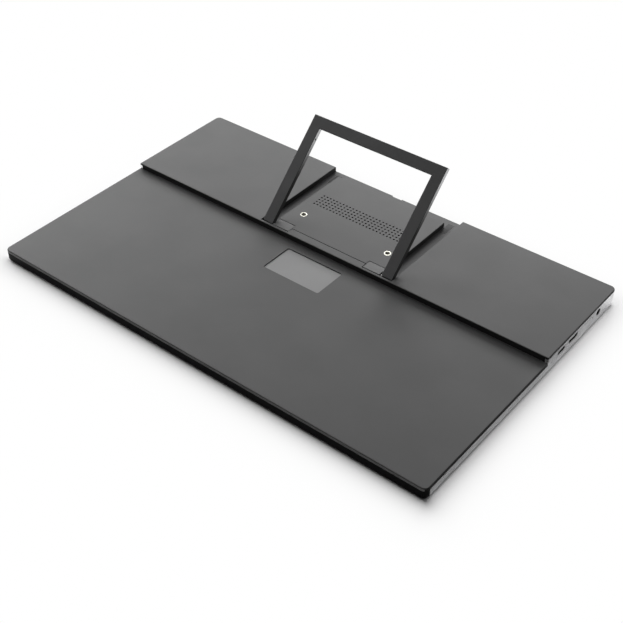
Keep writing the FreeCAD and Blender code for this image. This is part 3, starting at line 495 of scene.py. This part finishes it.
@dataclass(frozen=True)
class LabelFilm(Finish):
    """A blank satin film with a fine peel and slightly worn edges."""

    half_x_mm: float = 23.85
    half_y_mm: float = 13.4
    peel_mm: float = 1.1
    fibre_mm: tuple[float, float, float] = (6.0, 0.35, 1.0)
    cloud_mm: float = 20.0
    worn_mm: Span = (0.7, 0.1)
    depth_mm: float = 0.012

    def paint(self, graph: Graph) -> dict[str, Value]:
        """Add the finish's nodes."""
        x, y, _ = graph.axes_mm()
        inset = (self.half_x_mm - abs(x)).smaller(self.half_y_mm - abs(y))
        peel = graph.noise((self.peel_mm,) * 3, 2.0)
        fibre = graph.noise(self.fibre_mm, 2.0)
        cloud = graph.noise((self.cloud_mm,) * 3, 3.0).ramp(*MIDDLE)
        worn = ((peel - 0.5) * 1.2 + inset).ramp(*self.worn_mm)
        tone = cloud * 0.5 + fibre * 0.5
        film = graph.mix(tone, shade(self.colour, 0.95), shade(self.colour, 1.04))
        rough = (tone - 0.5) * 0.16 + self.roughness
        return {"Base Color": graph.mix(worn * 0.5, film, shade(self.colour, 0.72)), "Roughness": rough,
                "Normal": graph.bump(peel * 0.6 + fibre * 0.4, self.depth_mm)}


@dataclass(frozen=True)
class ScreenGlass(Finish):
    """Dark matt glass with a black border round the picture."""

    half_x_mm: float = 170.0
    low_y_mm: float = -102.0
    high_y_mm: float = 87.6
    border: Colour = (0.003, 0.003, 0.0035)
    row_mm: float = 0.36
    sparkle_mm: float = 0.12
    smear_mm: tuple[float, float, float] = (60.0, 22.0, 40.0)
    depth_mm: float = 0.006

    def paint(self, graph: Graph) -> dict[str, Value]:
        """Add the finish's nodes."""
        x, y, _ = graph.axes_mm()
        inside = (self.half_x_mm - abs(x)).smaller((y - self.low_y_mm).smaller(self.high_y_mm - y))
        rows = abs((y / self.row_mm).fraction() - 0.5).ramp(0.3, 0.5)
        sparkle = graph.noise((self.sparkle_mm,) * 3, 2.0)
        smears = graph.noise(self.smear_mm, 3.0).ramp(0.4, 0.75)
        picture = graph.mix(rows * 0.4 + sparkle * 0.3, self.colour, shade(self.colour, 1.5))
        colour = graph.mix(inside.ramp(-0.1, 0.1), self.border, picture)
        rough = smears * 0.08 + (sparkle - 0.5) * 0.1 + self.roughness
        return {"Base Color": colour, "Roughness": rough, "Normal": graph.bump(sparkle, self.depth_mm)}


@dataclass(frozen=True)
class SoftRubber(Finish):
    """Dull rubber with open pores and a little dust."""

    pore_mm: float = 0.5

    def paint(self, graph: Graph) -> dict[str, Value]:
        """Add the finish's nodes."""
        pores = graph.cells(self.pore_mm)
        dust = graph.noise((5.0,) * 3, 5.0).ramp(0.5, 0.75)
        colour = graph.mix(dust * 0.35, shade(self.colour, 0.9), shade(self.colour, 1.7))
        return {"Base Color": colour, "Roughness": dust * 0.12 + self.roughness,
                "Normal": graph.bump(pores, 0.05)}


@dataclass(frozen=True)
class CircuitBoard(Finish):
    """Solder mask over copper runs, with small bare pads."""

    run_mm: float = 2.6
    pad: Colour = (0.72, 0.55, 0.26)

    def paint(self, graph: Graph) -> dict[str, Value]:
        """Add the finish's nodes."""
        x, y, _ = graph.axes_mm()
        turn = graph.noise((9.0,) * 3, 0.0).ramp(0.46, 0.54)
        across = (x / self.run_mm).fraction() * turn + (y / self.run_mm).fraction() * (1.0 - turn)
        runs = abs(across - 0.5).ramp(0.17, 0.12)
        pads = graph.cells(3.1).ramp(0.16, 0.12)
        weave = graph.noise((0.5,) * 3, 2.0)
        mask = graph.mix(runs * 0.7 + weave * 0.3, shade(self.colour, 0.8), shade(self.colour, 1.7))
        return {"Base Color": graph.mix(pads, mask, self.pad), "Metallic": pads,
                "Roughness": weave * 0.12 + self.roughness, "Normal": graph.bump(runs * (1.0 - pads), 0.03)}


@dataclass(frozen=True)
class StripedFilm(Finish):
    """Flexible film with copper tracks under it."""

    across: Axis = Axis.Y
    pitch_mm: float = 0.5
    track: Colour = (0.62, 0.30, 0.10)

    def paint(self, graph: Graph) -> dict[str, Value]:
        """Add the finish's nodes."""
        place = graph.axes_mm()[self.across.value]
        tracks = abs((place / self.pitch_mm).fraction() - 0.5).ramp(0.32, 0.24)
        cloud = graph.noise((4.0,) * 3, 3.0)
        film = graph.mix(cloud, shade(self.colour, 0.85), shade(self.colour, 1.15))
        return {"Base Color": graph.mix(tracks * 0.7, film, self.track),
                "Roughness": cloud * 0.2 + self.roughness, "Normal": graph.bump(tracks, 0.03)}


@dataclass(frozen=True)
class DottedGuide(Finish):
    """Clear plate with a grid of small white dots that let the light out."""

    pitch_mm: float = 1.6
    dot: Colour = (0.9, 0.9, 0.9)

    def paint(self, graph: Graph) -> dict[str, Value]:
        """Add the finish's nodes."""
        x, y, _ = graph.axes_mm()
        off_x, off_y = (x / self.pitch_mm).fraction() - 0.5, (y / self.pitch_mm).fraction() - 0.5
        dots = (off_x * off_x + off_y * off_y).ramp(0.05, 0.035)
        haze = graph.noise((30.0,) * 3, 3.0)
        clear = graph.mix(haze, shade(self.colour, 0.96), shade(self.colour, 1.03))
        return {"Base Color": graph.mix(dots, clear, self.dot),
                "Roughness": dots * 0.5 + haze * 0.06 + self.roughness, "Normal": graph.bump(dots, 0.02)}


@dataclass(frozen=True)
class WhiteFilm(Finish):
    """Matt white sheet with a faint prism grain."""

    groove_mm: float = 0.4

    def paint(self, graph: Graph) -> dict[str, Value]:
        """Add the finish's nodes."""
        x, _, _ = graph.axes_mm()
        prisms = abs((x / self.groove_mm).fraction() - 0.5) * 2.0
        cloud = graph.noise((25.0,) * 3, 3.0)
        colour = graph.mix(cloud, shade(self.colour, 0.95), shade(self.colour, 1.03))
        return {"Base Color": colour, "Roughness": cloud * 0.12 + self.roughness,
                "Normal": graph.bump(prisms, 0.03)}


@dataclass(frozen=True)
class SpeakerCase(Finish):
    """Black speaker case whose dish is a ribbed cone."""

    middle_x_mm: float = 21.0
    middle_y_mm: float = 69.25
    dish_top_mm: float = 11.2
    long_share: float = 2.4
    rib_mm: float = 0.9
    depth_mm: float = 0.08

    def paint(self, graph: Graph) -> dict[str, Value]:
        """Add the finish's nodes."""
        x, y, z = graph.axes_mm()
        off_x, off_y = (abs(x) - self.middle_x_mm) / self.long_share, y - self.middle_y_mm
        radius = (off_x * off_x + off_y * off_y) ** 0.5
        dish = z.ramp(self.dish_top_mm - 0.1, self.dish_top_mm - 0.2)
        ribs = (radius * (math.tau / self.rib_mm)).sine() * 0.5 + 0.5
        grain = graph.noise((0.4,) * 3, 3.0)
        cone = graph.mix(ribs * 0.5 + grain * 0.5, shade(self.colour, 1.2), shade(self.colour, 2.6))
        return {"Base Color": graph.mix(dish, self.colour, cone),
                "Roughness": dish * 0.25 + grain * 0.1 + self.roughness,
                "Normal": graph.bump(ribs * dish * 0.8 + grain * 0.2, self.depth_mm)}


@dataclass(frozen=True)
class MilkyPipe(Finish):
    """Smoked clear plastic that carries a lamp's light, with the lamp off."""

    def paint(self, graph: Graph) -> dict[str, Value]:
        """Add the finish's nodes."""
        haze = graph.noise((0.6,) * 3, 3.0)
        colour = graph.mix(haze, shade(self.colour, 0.8), shade(self.colour, 1.25))
        return {"Base Color": colour, "Roughness": haze * 0.15 + self.roughness, "Coat Weight": 0.5}


class Finishes:
    """Every finish of the monitor."""

    COVER = CoverPlastic("cover_plastic", (0.09, 0.09, 0.0905), 0.56, 0.16, handling=0.03)
    TRIM = GrainedPlastic("black_trim", (0.006, 0.006, 0.0061), 0.5, 0.08, depth_mm=0.015, mottle=0.12)
    RAIL = BrushedMetal("satin_rail", (0.84, 0.84, 0.848), 0.3, along=Axis.Y)
    GLASS = ScreenGlass("matt_screen", (0.006, 0.0064, 0.0075), 0.28, 0.4)
    FILMS = WhiteFilm("screen_films", (0.8, 0.8, 0.79), 0.45, 0.4)
    LAMPS = WhiteFilm("lamp_strip", (0.82, 0.82, 0.76), 0.5, 0.4, groove_mm=4.0)
    GUIDE = DottedGuide("light_plate", (0.62, 0.66, 0.66), 0.12, 0.5)
    TRAY = BrushedMetal("tray_sheet", (0.48, 0.48, 0.49), 0.4, along=Axis.X, contrast=0.1)
    STAND = AnodisedFrame("stand_anodised", (0.108, 0.108, 0.109), 0.44, 0.24)
    HINGE = EdgeHighlightPaint("hinge_paint", (0.088, 0.088, 0.0886), 0.5, 0.25, grain_mm=0.3, depth_mm=0.01,
                      mottle=0.08)
    STEEL = BrushedMetal("plain_steel", (0.52, 0.52, 0.53), 0.34, along=Axis.X, length_mm=12.0, contrast=0.1)
    BRASS = BrushedMetal("turned_brass", (0.66, 0.5, 0.25), 0.3, along=Axis.Y, length_mm=3.0, contrast=0.1)
    INSERT = TurnedMetal("pale_insert", (0.37, 0.365, 0.32), 0.36)
    PAD = SoftRubber("groove_rubber", (0.085, 0.085, 0.0855), 0.66, 0.16)
    LABEL = LabelFilm("blank_label", (0.275, 0.275, 0.276), 0.5, 0.2)
    BOARD = CircuitBoard("green_board", (0.012, 0.075, 0.035), 0.36, 0.45)
    CHIP = GrainedPlastic("chip_package", (0.016, 0.016, 0.016), 0.55, 0.35, grain_mm=0.2, patch_mm=6.0,
                          mottle=0.25)
    SPEAKER = SpeakerCase("speaker_case", (0.014, 0.014, 0.0145), 0.5, 0.3)
    SOCKET = GrainedPlastic("cream_connector", (0.55, 0.5, 0.38), 0.45, 0.4, grain_mm=0.3, patch_mm=3.0,
                            mottle=0.12)
    RIBBON = StripedFilm("amber_ribbon", (0.30, 0.13, 0.025), 0.35, 0.45)
    DRIVER = StripedFilm("amber_driver_film", (0.30, 0.13, 0.025), 0.35, 0.45, across=Axis.X, pitch_mm=0.8)
    PIPE = MilkyPipe("smoked_pipe", (0.12, 0.12, 0.125), 0.2, 0.5)
    GOLD = BrushedMetal("contact_gold", (0.78, 0.56, 0.22), 0.25, along=Axis.X, streak_mm=0.1, length_mm=2.0)
    SHELL = SocketShell("socket_shell", (0.02, 0.02, 0.0203), 0.4, along=Axis.X, length_mm=6.0, contrast=0.1)
    NOSE = GrainedPlastic("tongue_nose", (0.2, 0.2, 0.2), 0.5, 0.3, grain_mm=0.2, patch_mm=2.0, mottle=0.12)
    JACK = GrainedPlastic("jack_moulding", (0.004, 0.004, 0.004), 0.6, 0.08, grain_mm=0.2, patch_mm=4.0,
                          mottle=0.2)
    BUSH = BrushedMetal("oiled_bronze", (0.10, 0.08, 0.05), 0.5, along=Axis.Y, length_mm=2.0, contrast=0.1)
    THREAD = BrushedMetal("thread_shadow", (0.2, 0.19, 0.16), 0.5, along=Axis.Z, length_mm=1.0, contrast=0.15)


@dataclass
class SubAssembly(ABC):
    """A group of pieces that are made and dressed together."""

    pieces: dict[str, bpy.types.Object] = field(default_factory=dict, init=False)

    def dress(self, finish: Finish, *nodes: str) -> None:
        """Give nodes of the frame a finish.

        Args:
            finish: the finish.
            nodes: the names of the nodes.
        """
        for name in nodes:
            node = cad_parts[name]
            node.data.materials.clear()
            node.data.materials.append(finish.material())
            self.pieces[name] = node

    def add(self, name: str, mesh: bmesh.types.BMesh, finish: Finish, slot: str,
            body: Body = Body.MONITOR) -> None:
        """Add a piece of this scene's own.

        Args:
            name: the piece's name.
            mesh: its shape in the shared frame; it is freed.
            finish: its finish.
            slot: the record's material slot; not used.
            body: what it moves with.
        """
        bmesh.ops.recalc_face_normals(mesh, faces=mesh.faces)
        data = bpy.data.meshes.new(name)
        mesh.to_mesh(data)
        mesh.free()
        data.materials.append(finish.material())
        piece = bpy.data.objects.new(name, data)
        bpy.context.scene.collection.objects.link(piece)
        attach(piece, body.value)
        self.pieces[name] = piece

    @abstractmethod
    def build(self) -> None:
        """Make and dress the pieces."""

    def report(self) -> None:
        """Log each piece."""
        for name, piece in sorted(self.pieces.items()):
            LOG.info("%s: %s, %d faces", type(self).__name__, name, len(piece.data.polygons))


def bevelled_block(mesh: bmesh.types.BMesh, low: Vector, high: Vector, bevel: float) -> None:
    """Add a block with bevelled edges.

    Args:
        mesh: what it is added to.
        low: its lowest corner, in metres.
        high: its highest corner.
        bevel: the width of the bevel.
    """
    size, middle = high - low, (low + high) / 2
    matrix = Matrix.Translation(middle) @ Matrix.Diagonal((*size, 1.0))
    corners = bmesh.ops.create_cube(mesh, size=1.0, matrix=matrix)["verts"]
    edges = list({edge for corner in corners for edge in corner.link_edges})
    bmesh.ops.bevel(mesh, geom=edges, offset=bevel, segments=2, affect="EDGES")


def loft(mesh: bmesh.types.BMesh, rings: Sequence[Sequence[Vector]]) -> None:
    """Join closed rings of equally many points into a tube with closed ends.

    Args:
        mesh: what it is added to.
        rings: the rings in order.
    """
    rows = [[mesh.verts.new(point) for point in ring] for ring in rings]
    count = len(rows[0])
    for row, following in zip(rows, rows[1:]):
        for index in range(count):
            step = (index + 1) % count
            mesh.faces.new((row[index], row[step], following[step], following[index]))
    mesh.faces.new(rows[0])
    mesh.faces.new(rows[-1])


@dataclass
class Housing(SubAssembly):
    """Rear cover, rails, bezel, label and pads."""

    def build(self) -> None:
        """Dress the shell."""
        self.dress(Finishes.COVER, "rear_cover")
        self.dress(Finishes.RAIL, "side_rail_right", "side_rail_left")
        self.dress(Finishes.TRIM, "front_rail", "back_rail", "front_bezel")
        self.dress(Finishes.LABEL, "label_plate")
        self.dress(Finishes.PAD, "groove_pad_right", "groove_pad_left")


@dataclass
class CentrePlate(SubAssembly):
    """The perforated plate with its two threaded inserts."""

    insert_x: float = 37.5 * MM
    insert_y: float = 47.4 * MM
    bore: float = 1.65 * MM
    low: float = 9.15 * MM
    high: float = 12.75 * MM
    pitch: float = 0.7 * MM
    ridge: float = 0.28 * MM
    seat: float = 0.05 * MM
    steps: int = 28
    root_share: float = 0.38
    crest_share: float = 0.06
    fade_turns: int = 12
    least_fade: float = 0.1

    def thread(self, mesh: bmesh.types.BMesh, side: Side) -> None:
        """Add the helical ridge inside one insert.

        Args:
            mesh: what it is added to.
            side: which insert.
        """
        turns = (self.high - self.low) / self.pitch
        count = round(turns * self.steps)
        half, flat = self.root_share * self.pitch, self.crest_share * self.pitch
        outer = self.bore + self.seat
        rings = []
        for index in range(count + 1):
            share = index / count
            angle = math.tau * turns * share
            rise = self.low + (self.high - self.low) * share
            runout = min(1.0, share * self.fade_turns, (1 - share) * self.fade_turns)
            fade = runout * (1.0 - self.least_fade) + self.least_fade
            outward = Vector((math.cos(angle), math.sin(angle), 0.0))
            middle = Vector((side.value * self.insert_x, self.insert_y, rise))
            crest = self.bore - self.ridge * fade
            rings.append([middle + outward * outer + Vector((0, 0, -half)),
                          middle + outward * crest + Vector((0, 0, -flat)),
                          middle + outward * crest + Vector((0, 0, flat)),
                          middle + outward * outer + Vector((0, 0, half))])
        loft(mesh, rings)

    def build(self) -> None:
        """Dress the plate and cut the threads."""
        self.dress(Finishes.COVER, "centre_plate")
        self.dress(Finishes.INSERT, "thread_inserts")
        mesh = bmesh.new()
        for side in Side:
            self.thread(mesh, side)
        self.add("insert_threads", mesh, Finishes.THREAD, "insert_metal")


@dataclass
class Screen(SubAssembly):
    """The panel, its light and its driver."""

    def build(self) -> None:
        """Dress the stack."""
        self.dress(Finishes.GLASS, "lcd_cell")
        self.dress(Finishes.FILMS, "optical_films")
        self.dress(Finishes.GUIDE, "light_guide")
        self.dress(Finishes.LAMPS, "backlight_strip")
        self.dress(Finishes.TRAY, "panel_tray")
        self.dress(Finishes.BOARD, "driver_board")
        self.dress(Finishes.DRIVER, "driver_films")


@dataclass
class Kickstand(SubAssembly):
    """The folding frame and its hinges, with the seals that close the seams beside the hinge blocks."""

    seam: tuple[float, float] = (32.92 * MM, 33.18 * MM)
    seam_y: tuple[float, float] = (32.42 * MM, 32.68 * MM)
    front_y: float = 28.75 * MM
    outer_x: float = 47.2 * MM
    seal_z: tuple[float, float] = (12.0 * MM, 12.88 * MM)
    seal_bevel: float = 0.05 * MM

    def seals(self) -> bmesh.types.BMesh:
        """Make the seals: one along the inner side of each block and one behind it.

        Returns:
            The seals' shape.
        """
        mesh = bmesh.new()
        low, high = self.seal_z
        for side in Side:
            inner = (self.seam, (self.front_y, self.seam_y[0]))
            behind = ((self.seam[0], self.outer_x), self.seam_y)
            for across, along in (inner, behind):
                ends = sorted(side.value * end for end in across)
                start, stop = Vector((ends[0], along[0], low)), Vector((ends[1], along[1], high))
                bevelled_block(mesh, start, stop, self.seal_bevel)
        return mesh

    def build(self) -> None:
        """Dress the frame and the hinges."""
        self.dress(Finishes.STAND, "kickstand")
        self.dress(Finishes.HINGE, "hinge_block_right", "hinge_block_left")
        self.add("hinge_seals", self.seals(), Finishes.HINGE, "hinge_grey")
        self.dress(Finishes.BUSH, "hinge_bush_right", "hinge_bush_left")
        self.dress(Finishes.STEEL, "hinge_pin_right", "hinge_pin_left", "hinge_bracket_right",
                   "hinge_bracket_left", "hinge_screws")


@dataclass
class Electronics(SubAssembly):
    """Boards, what stands on them, and the cables between them."""

    def build(self) -> None:
        """Dress the boards and their parts."""
        self.dress(Finishes.BOARD, "main_board", "button_board")
        self.dress(Finishes.BRASS, "board_spacers")
        self.dress(Finishes.STEEL, "board_screws")
        self.dress(Finishes.CHIP, "controller_chip", "power_coils", "button_switches")
        self.dress(Finishes.TRAY, "power_shield")
        self.dress(Finishes.SOCKET, "ribbon_sockets")
        self.dress(Finishes.RIBBON, "panel_ribbon", "button_ribbon", "speaker_lead")
        self.dress(Finishes.SPEAKER, "speaker_right", "speaker_left")
        self.dress(Finishes.TRIM, "power_button", "menu_up_button", "menu_down_button")


@dataclass
class Ports(SubAssembly):
    """Sockets and the status light in the right rail, with the contacts on their tongues."""

    tip: float = 178.5 * MM
    level: float = 8.0 * MM
    tongue: float = 0.7 * MM
    usb_y: float = 38.7 * MM
    video_y: float = 54.0 * MM
    cap_reach: float = 0.85 * MM
    cap_bevel: float = 0.12 * MM
    strip_length: float = 3.6 * MM
    strip_setback: float = 0.25 * MM
    strip_share: float = 0.28
    strip_bevel: float = 0.02 * MM
    proud: float = 0.06 * MM
    jack_y: float = 87.7 * MM
    jack_level: float = 7.7 * MM
    jack_bore: float = 1.8 * MM
    leaf_start: float = 167.4 * MM
    leaf_length: float = 6.5 * MM
    leaf_lift: float = 0.5 * MM
    leaf_gap: float = 0.02 * MM
    leaf_thickness: float = 0.2 * MM
    leaf_steps: int = 18
    leaf_angles: tuple[int, ...] = (70, 80, 90, 100, 110)

    def contacts(self, middle: float, count: int, pitch: float) -> bmesh.types.BMesh:
        """Make the strips on both faces of a tongue.

        Args:
            middle: the tongue's middle along Y.
            count: how many strips a face has.
            pitch: their spacing.

        Returns:
            The strips' shape.
        """
        mesh = bmesh.new()
        for index in range(count):
            y = middle + (index - (count - 1) / 2) * pitch
            for face in (1, -1):
                z = self.level + face * self.tongue / 2
                half = pitch * self.strip_share
                low = Vector((self.tip - self.strip_length, y - half, z - self.proud / 2))
                high = Vector((self.tip - self.strip_setback, y + half, z + self.proud))
                bevelled_block(mesh, low, high, self.strip_bevel)
        return mesh

    def cap(self, middle: float, width: float) -> bmesh.types.BMesh:
        """Make the moulded nose in front of a tongue.

        Args:
            middle: the tongue's middle along Y.
            width: the nose's width.

        Returns:
            The nose's shape.
        """
        mesh = bmesh.new()
        half = self.tongue / 2 + self.proud
        low = Vector((self.tip + self.proud / 2, middle - width / 2, self.level - half))
        high = Vector((self.tip + self.cap_reach, middle + width / 2, self.level + half))
        bevelled_block(mesh, low, high, self.cap_bevel)
        return mesh

    def spring(self) -> bmesh.types.BMesh:
        """Make the sprung leaf that touches a plug in the jack's bore.

        Returns:
            The leaf's shape.
        """
        mesh = bmesh.new()
        rings = []
        for index in range(self.leaf_steps + 1):
            share = index / self.leaf_steps
            middle = Vector((self.leaf_start + self.leaf_length * share, self.jack_y, self.jack_level))
            outer = self.jack_bore - self.leaf_gap - self.leaf_lift * math.sin(math.pi * share) ** 2
            inner = outer - self.leaf_thickness
            sweep = [(angle, outer) for angle in self.leaf_angles]
            sweep += [(angle, inner) for angle in reversed(self.leaf_angles)]
            turns = [(math.radians(angle), reach) for angle, reach in sweep]
            rings.append([middle + Vector((0.0, math.cos(turn), math.sin(turn))) * reach
                          for turn, reach in turns])
        loft(mesh, rings)
        return mesh

    def build(self) -> None:
        """Dress the sockets and add their contacts."""
        self.dress(Finishes.SHELL, "usb_socket", "video_socket")
        self.dress(Finishes.JACK, "audio_jack")
        self.dress(Finishes.PIPE, "status_light")
        self.add("usb_contacts", self.contacts(self.usb_y, 12, 0.5 * MM), Finishes.GOLD, "brass")
        self.add("video_contacts", self.contacts(self.video_y, 10, 0.62 * MM), Finishes.GOLD, "brass")
        self.add("usb_tongue_nose", self.cap(self.usb_y, 6.6 * MM), Finishes.NOSE, "connector_cream")
        self.add("video_tongue_nose", self.cap(self.video_y, 6.8 * MM), Finishes.NOSE, "connector_cream")
        self.add("jack_spring", self.spring(), Finishes.STEEL, "steel")


@dataclass(frozen=True)
class Softbox:
    """One rectangular studio lamp."""

    name: str
    place: tuple[float, float, float]
    aim: tuple[float, float, float]
    width: float
    height: float
    watts: float

    def build(self) -> None:
        """Hang the lamp and aim it."""
        data = bpy.data.lights.new(self.name, "AREA")
        data.shape = "RECTANGLE"
        data.size, data.size_y = self.width, self.height
        data.energy = self.watts
        lamp = bpy.data.objects.new(self.name, data)
        lamp.location = self.place
        direction = Vector(self.aim) - Vector(self.place)
        lamp.rotation_euler = direction.to_track_quat("-Z", "Y").to_euler()
        bpy.context.scene.collection.objects.link(lamp)


@dataclass
class Studio:
    """Floor, world and lamps."""

    floor_half: float = 6.0
    floor_drop: float = 0.0002
    floor_colour: Colour = (0.93, 0.93, 0.93)
    floor_roughness: float = 0.9
    floor_cloud_mm: float = 400.0
    floor_spread: Span = (0.995, 1.005)
    footprint: tuple[float, float] = (0.180, 0.112)
    white_reach: float = 0.0066
    ambient: float = 0.03
    lamps: tuple[Softbox, ...] = (
        Softbox("back_lamp", (-0.57, 1.33, 0.65), (0.0, 0.0, 0.0), 0.8, 0.6, 18.2),
        Softbox("back_left_lamp", (-1.28, 0.64, 0.56), (0.0, 0.0, 0.0), 0.8, 0.6, 12.8),
        Softbox("left_lamp", (-1.39, 0.10, 0.56), (0.0, 0.0, 0.0), 0.8, 0.6, 12.2),
        Softbox("low_lamp", (0.40, 0.60, 0.12), (0.15, 0.1, 0.0), 0.3, 0.2, 2.4),
    )

    def seen_rays(self, graph: Graph) -> Signal:
        """One for camera, glossy and transmission rays, and zero for the rest."""
        path = graph.tree.nodes.new("ShaderNodeLightPath")
        names = ("Is Camera Ray", "Is Glossy Ray", "Is Transmission Ray")
        camera, glossy, through = (Signal(graph, path.outputs[name]) for name in names)
        return camera.larger(glossy).larger(through)

    def floor_material(self) -> bpy.types.Material:
        """Make the floor's material: plain and pale, and white further out.

        Returns:
            The material.
        """
        material = bpy.data.materials.new("studio_floor")
        material.use_nodes = True
        graph = Graph(material.node_tree)
        shader = material.node_tree.nodes["Principled BSDF"]
        cloud = graph.noise((self.floor_cloud_mm,) * 3, 2.0)
        tone = graph.mix(cloud, *(shade(self.floor_colour, factor) for factor in self.floor_spread))
        graph.feed(shader.inputs["Base Color"], tone)
        graph.feed(shader.inputs["Roughness"], self.floor_roughness)
        graph.feed(shader.inputs["Specular IOR Level"], 0.0)
        x, y, _ = graph.axes_mm()
        out_x, out_y = ((abs(axis) - half / MM).larger(0.0) for axis, half in zip((x, y), self.footprint))
        away = (out_x * out_x + out_y * out_y) ** 0.5
        far = 1.0 - away.fading(self.white_reach / MM)
        seen = graph.node("ShaderNodeLightPath", output="Is Camera Ray")
        white = graph.node("ShaderNodeEmission", None, {"Color": (1.0, 1.0, 1.0), "Strength": 1.0})
        lit = Signal(graph, shader.outputs[0])
        body = graph.node("ShaderNodeMixShader", None, {0: far * seen, 1: lit, 2: white})
        clear = graph.node("ShaderNodeBsdfTransparent")
        under = graph.node("ShaderNodeNewGeometry", output="Backfacing")
        shown = graph.node("ShaderNodeMixShader", None, {0: under, 1: body, 2: clear})
        graph.feed(material.node_tree.nodes["Material Output"].inputs["Surface"], shown)
        return material

    def build_floor(self) -> None:
        """Lay the floor."""
        mesh = bmesh.new()
        reach = self.floor_half
        corners = [(-reach, -reach), (reach, -reach), (reach, reach), (-reach, reach)]
        mesh.faces.new([mesh.verts.new((x, y, -self.floor_drop)) for x, y in corners])
        data = bpy.data.meshes.new("studio_floor")
        mesh.to_mesh(data)
        mesh.free()
        data.materials.append(self.floor_material())
        floor = bpy.data.objects.new("studio_floor", data)
        bpy.context.scene.collection.objects.link(floor)

    def build_world(self) -> None:
        """Set a low even light, with white behind what is seen or mirrored."""
        world = bpy.data.worlds.new("studio_world")
        bpy.context.scene.world = world
        world.use_nodes = True
        graph = Graph(world.node_tree)
        low = graph.node("ShaderNodeBackground", None, {"Color": (1.0, 1.0, 1.0), "Strength": self.ambient})
        white = graph.node("ShaderNodeBackground", None, {"Color": (1.0, 1.0, 1.0), "Strength": 1.0})
        both = graph.node("ShaderNodeMixShader", None, {0: self.seen_rays(graph), 1: low, 2: white})
        graph.feed(world.node_tree.nodes["World Output"].inputs["Surface"], both)

    def build(self) -> None:
        """Set up the studio."""
        self.build_floor()
        self.build_world()
        for lamp in self.lamps:
            lamp.build()
            LOG.info("Studio: %s, %.0f W", lamp.name, lamp.watts)
        bpy.context.scene.view_settings.view_transform = "Standard"


@dataclass(frozen=True)
class PhotoCamera:
    """The camera at the photograph's place, in the shared frame."""

    image_px: float = 623.0
    focal_px: float = 1152.3762
    azimuth: float = 39.0613
    elevation: float = 39.9374
    roll: float = -0.3178
    distance: float = 0.7994832
    aside: float = 0.00606
    above: float = -0.0217966
    sensor: float = 36.0
    clip: Span = (0.01, 50.0)

    def build(self) -> None:
        """Place the camera and make it the scene's."""
        turn, rise, roll = (math.radians(angle) for angle in (self.azimuth, self.elevation, self.roll))
        level = Vector((math.cos(turn), math.sin(turn), 0.0))
        back = Vector((math.sin(turn) * math.cos(rise), -math.cos(turn) * math.cos(rise), math.sin(rise)))
        upright = back.cross(level)
        right = level * math.cos(roll) + upright * math.sin(roll)
        up = upright * math.cos(roll) - level * math.sin(roll)
        data = bpy.data.cameras.new("photo_camera")
        data.sensor_fit = "HORIZONTAL"
        data.sensor_width = self.sensor
        data.lens = self.focal_px * self.sensor / self.image_px
        data.clip_start, data.clip_end = self.clip
        camera = bpy.data.objects.new("photo_camera", data)
        place = right * self.aside + up * self.above + back * self.distance
        camera.matrix_world = Matrix.Translation(place) @ Matrix((right, up, back)).transposed().to_4x4()
        bpy.context.scene.collection.objects.link(camera)
        bpy.context.scene.camera = camera


def main() -> None:
    """Build every sub-assembly, the studio and the camera."""
    logging.basicConfig(level=logging.INFO, format="%(message)s")
    PhotoCamera().build()
    assemblies = (Housing(), CentrePlate(), Screen(), Kickstand(), Electronics(), Ports())
    for assembly in assemblies:
        assembly.build()
        assembly.report()
    Studio().build()


if __name__ == "__main__":
    main()
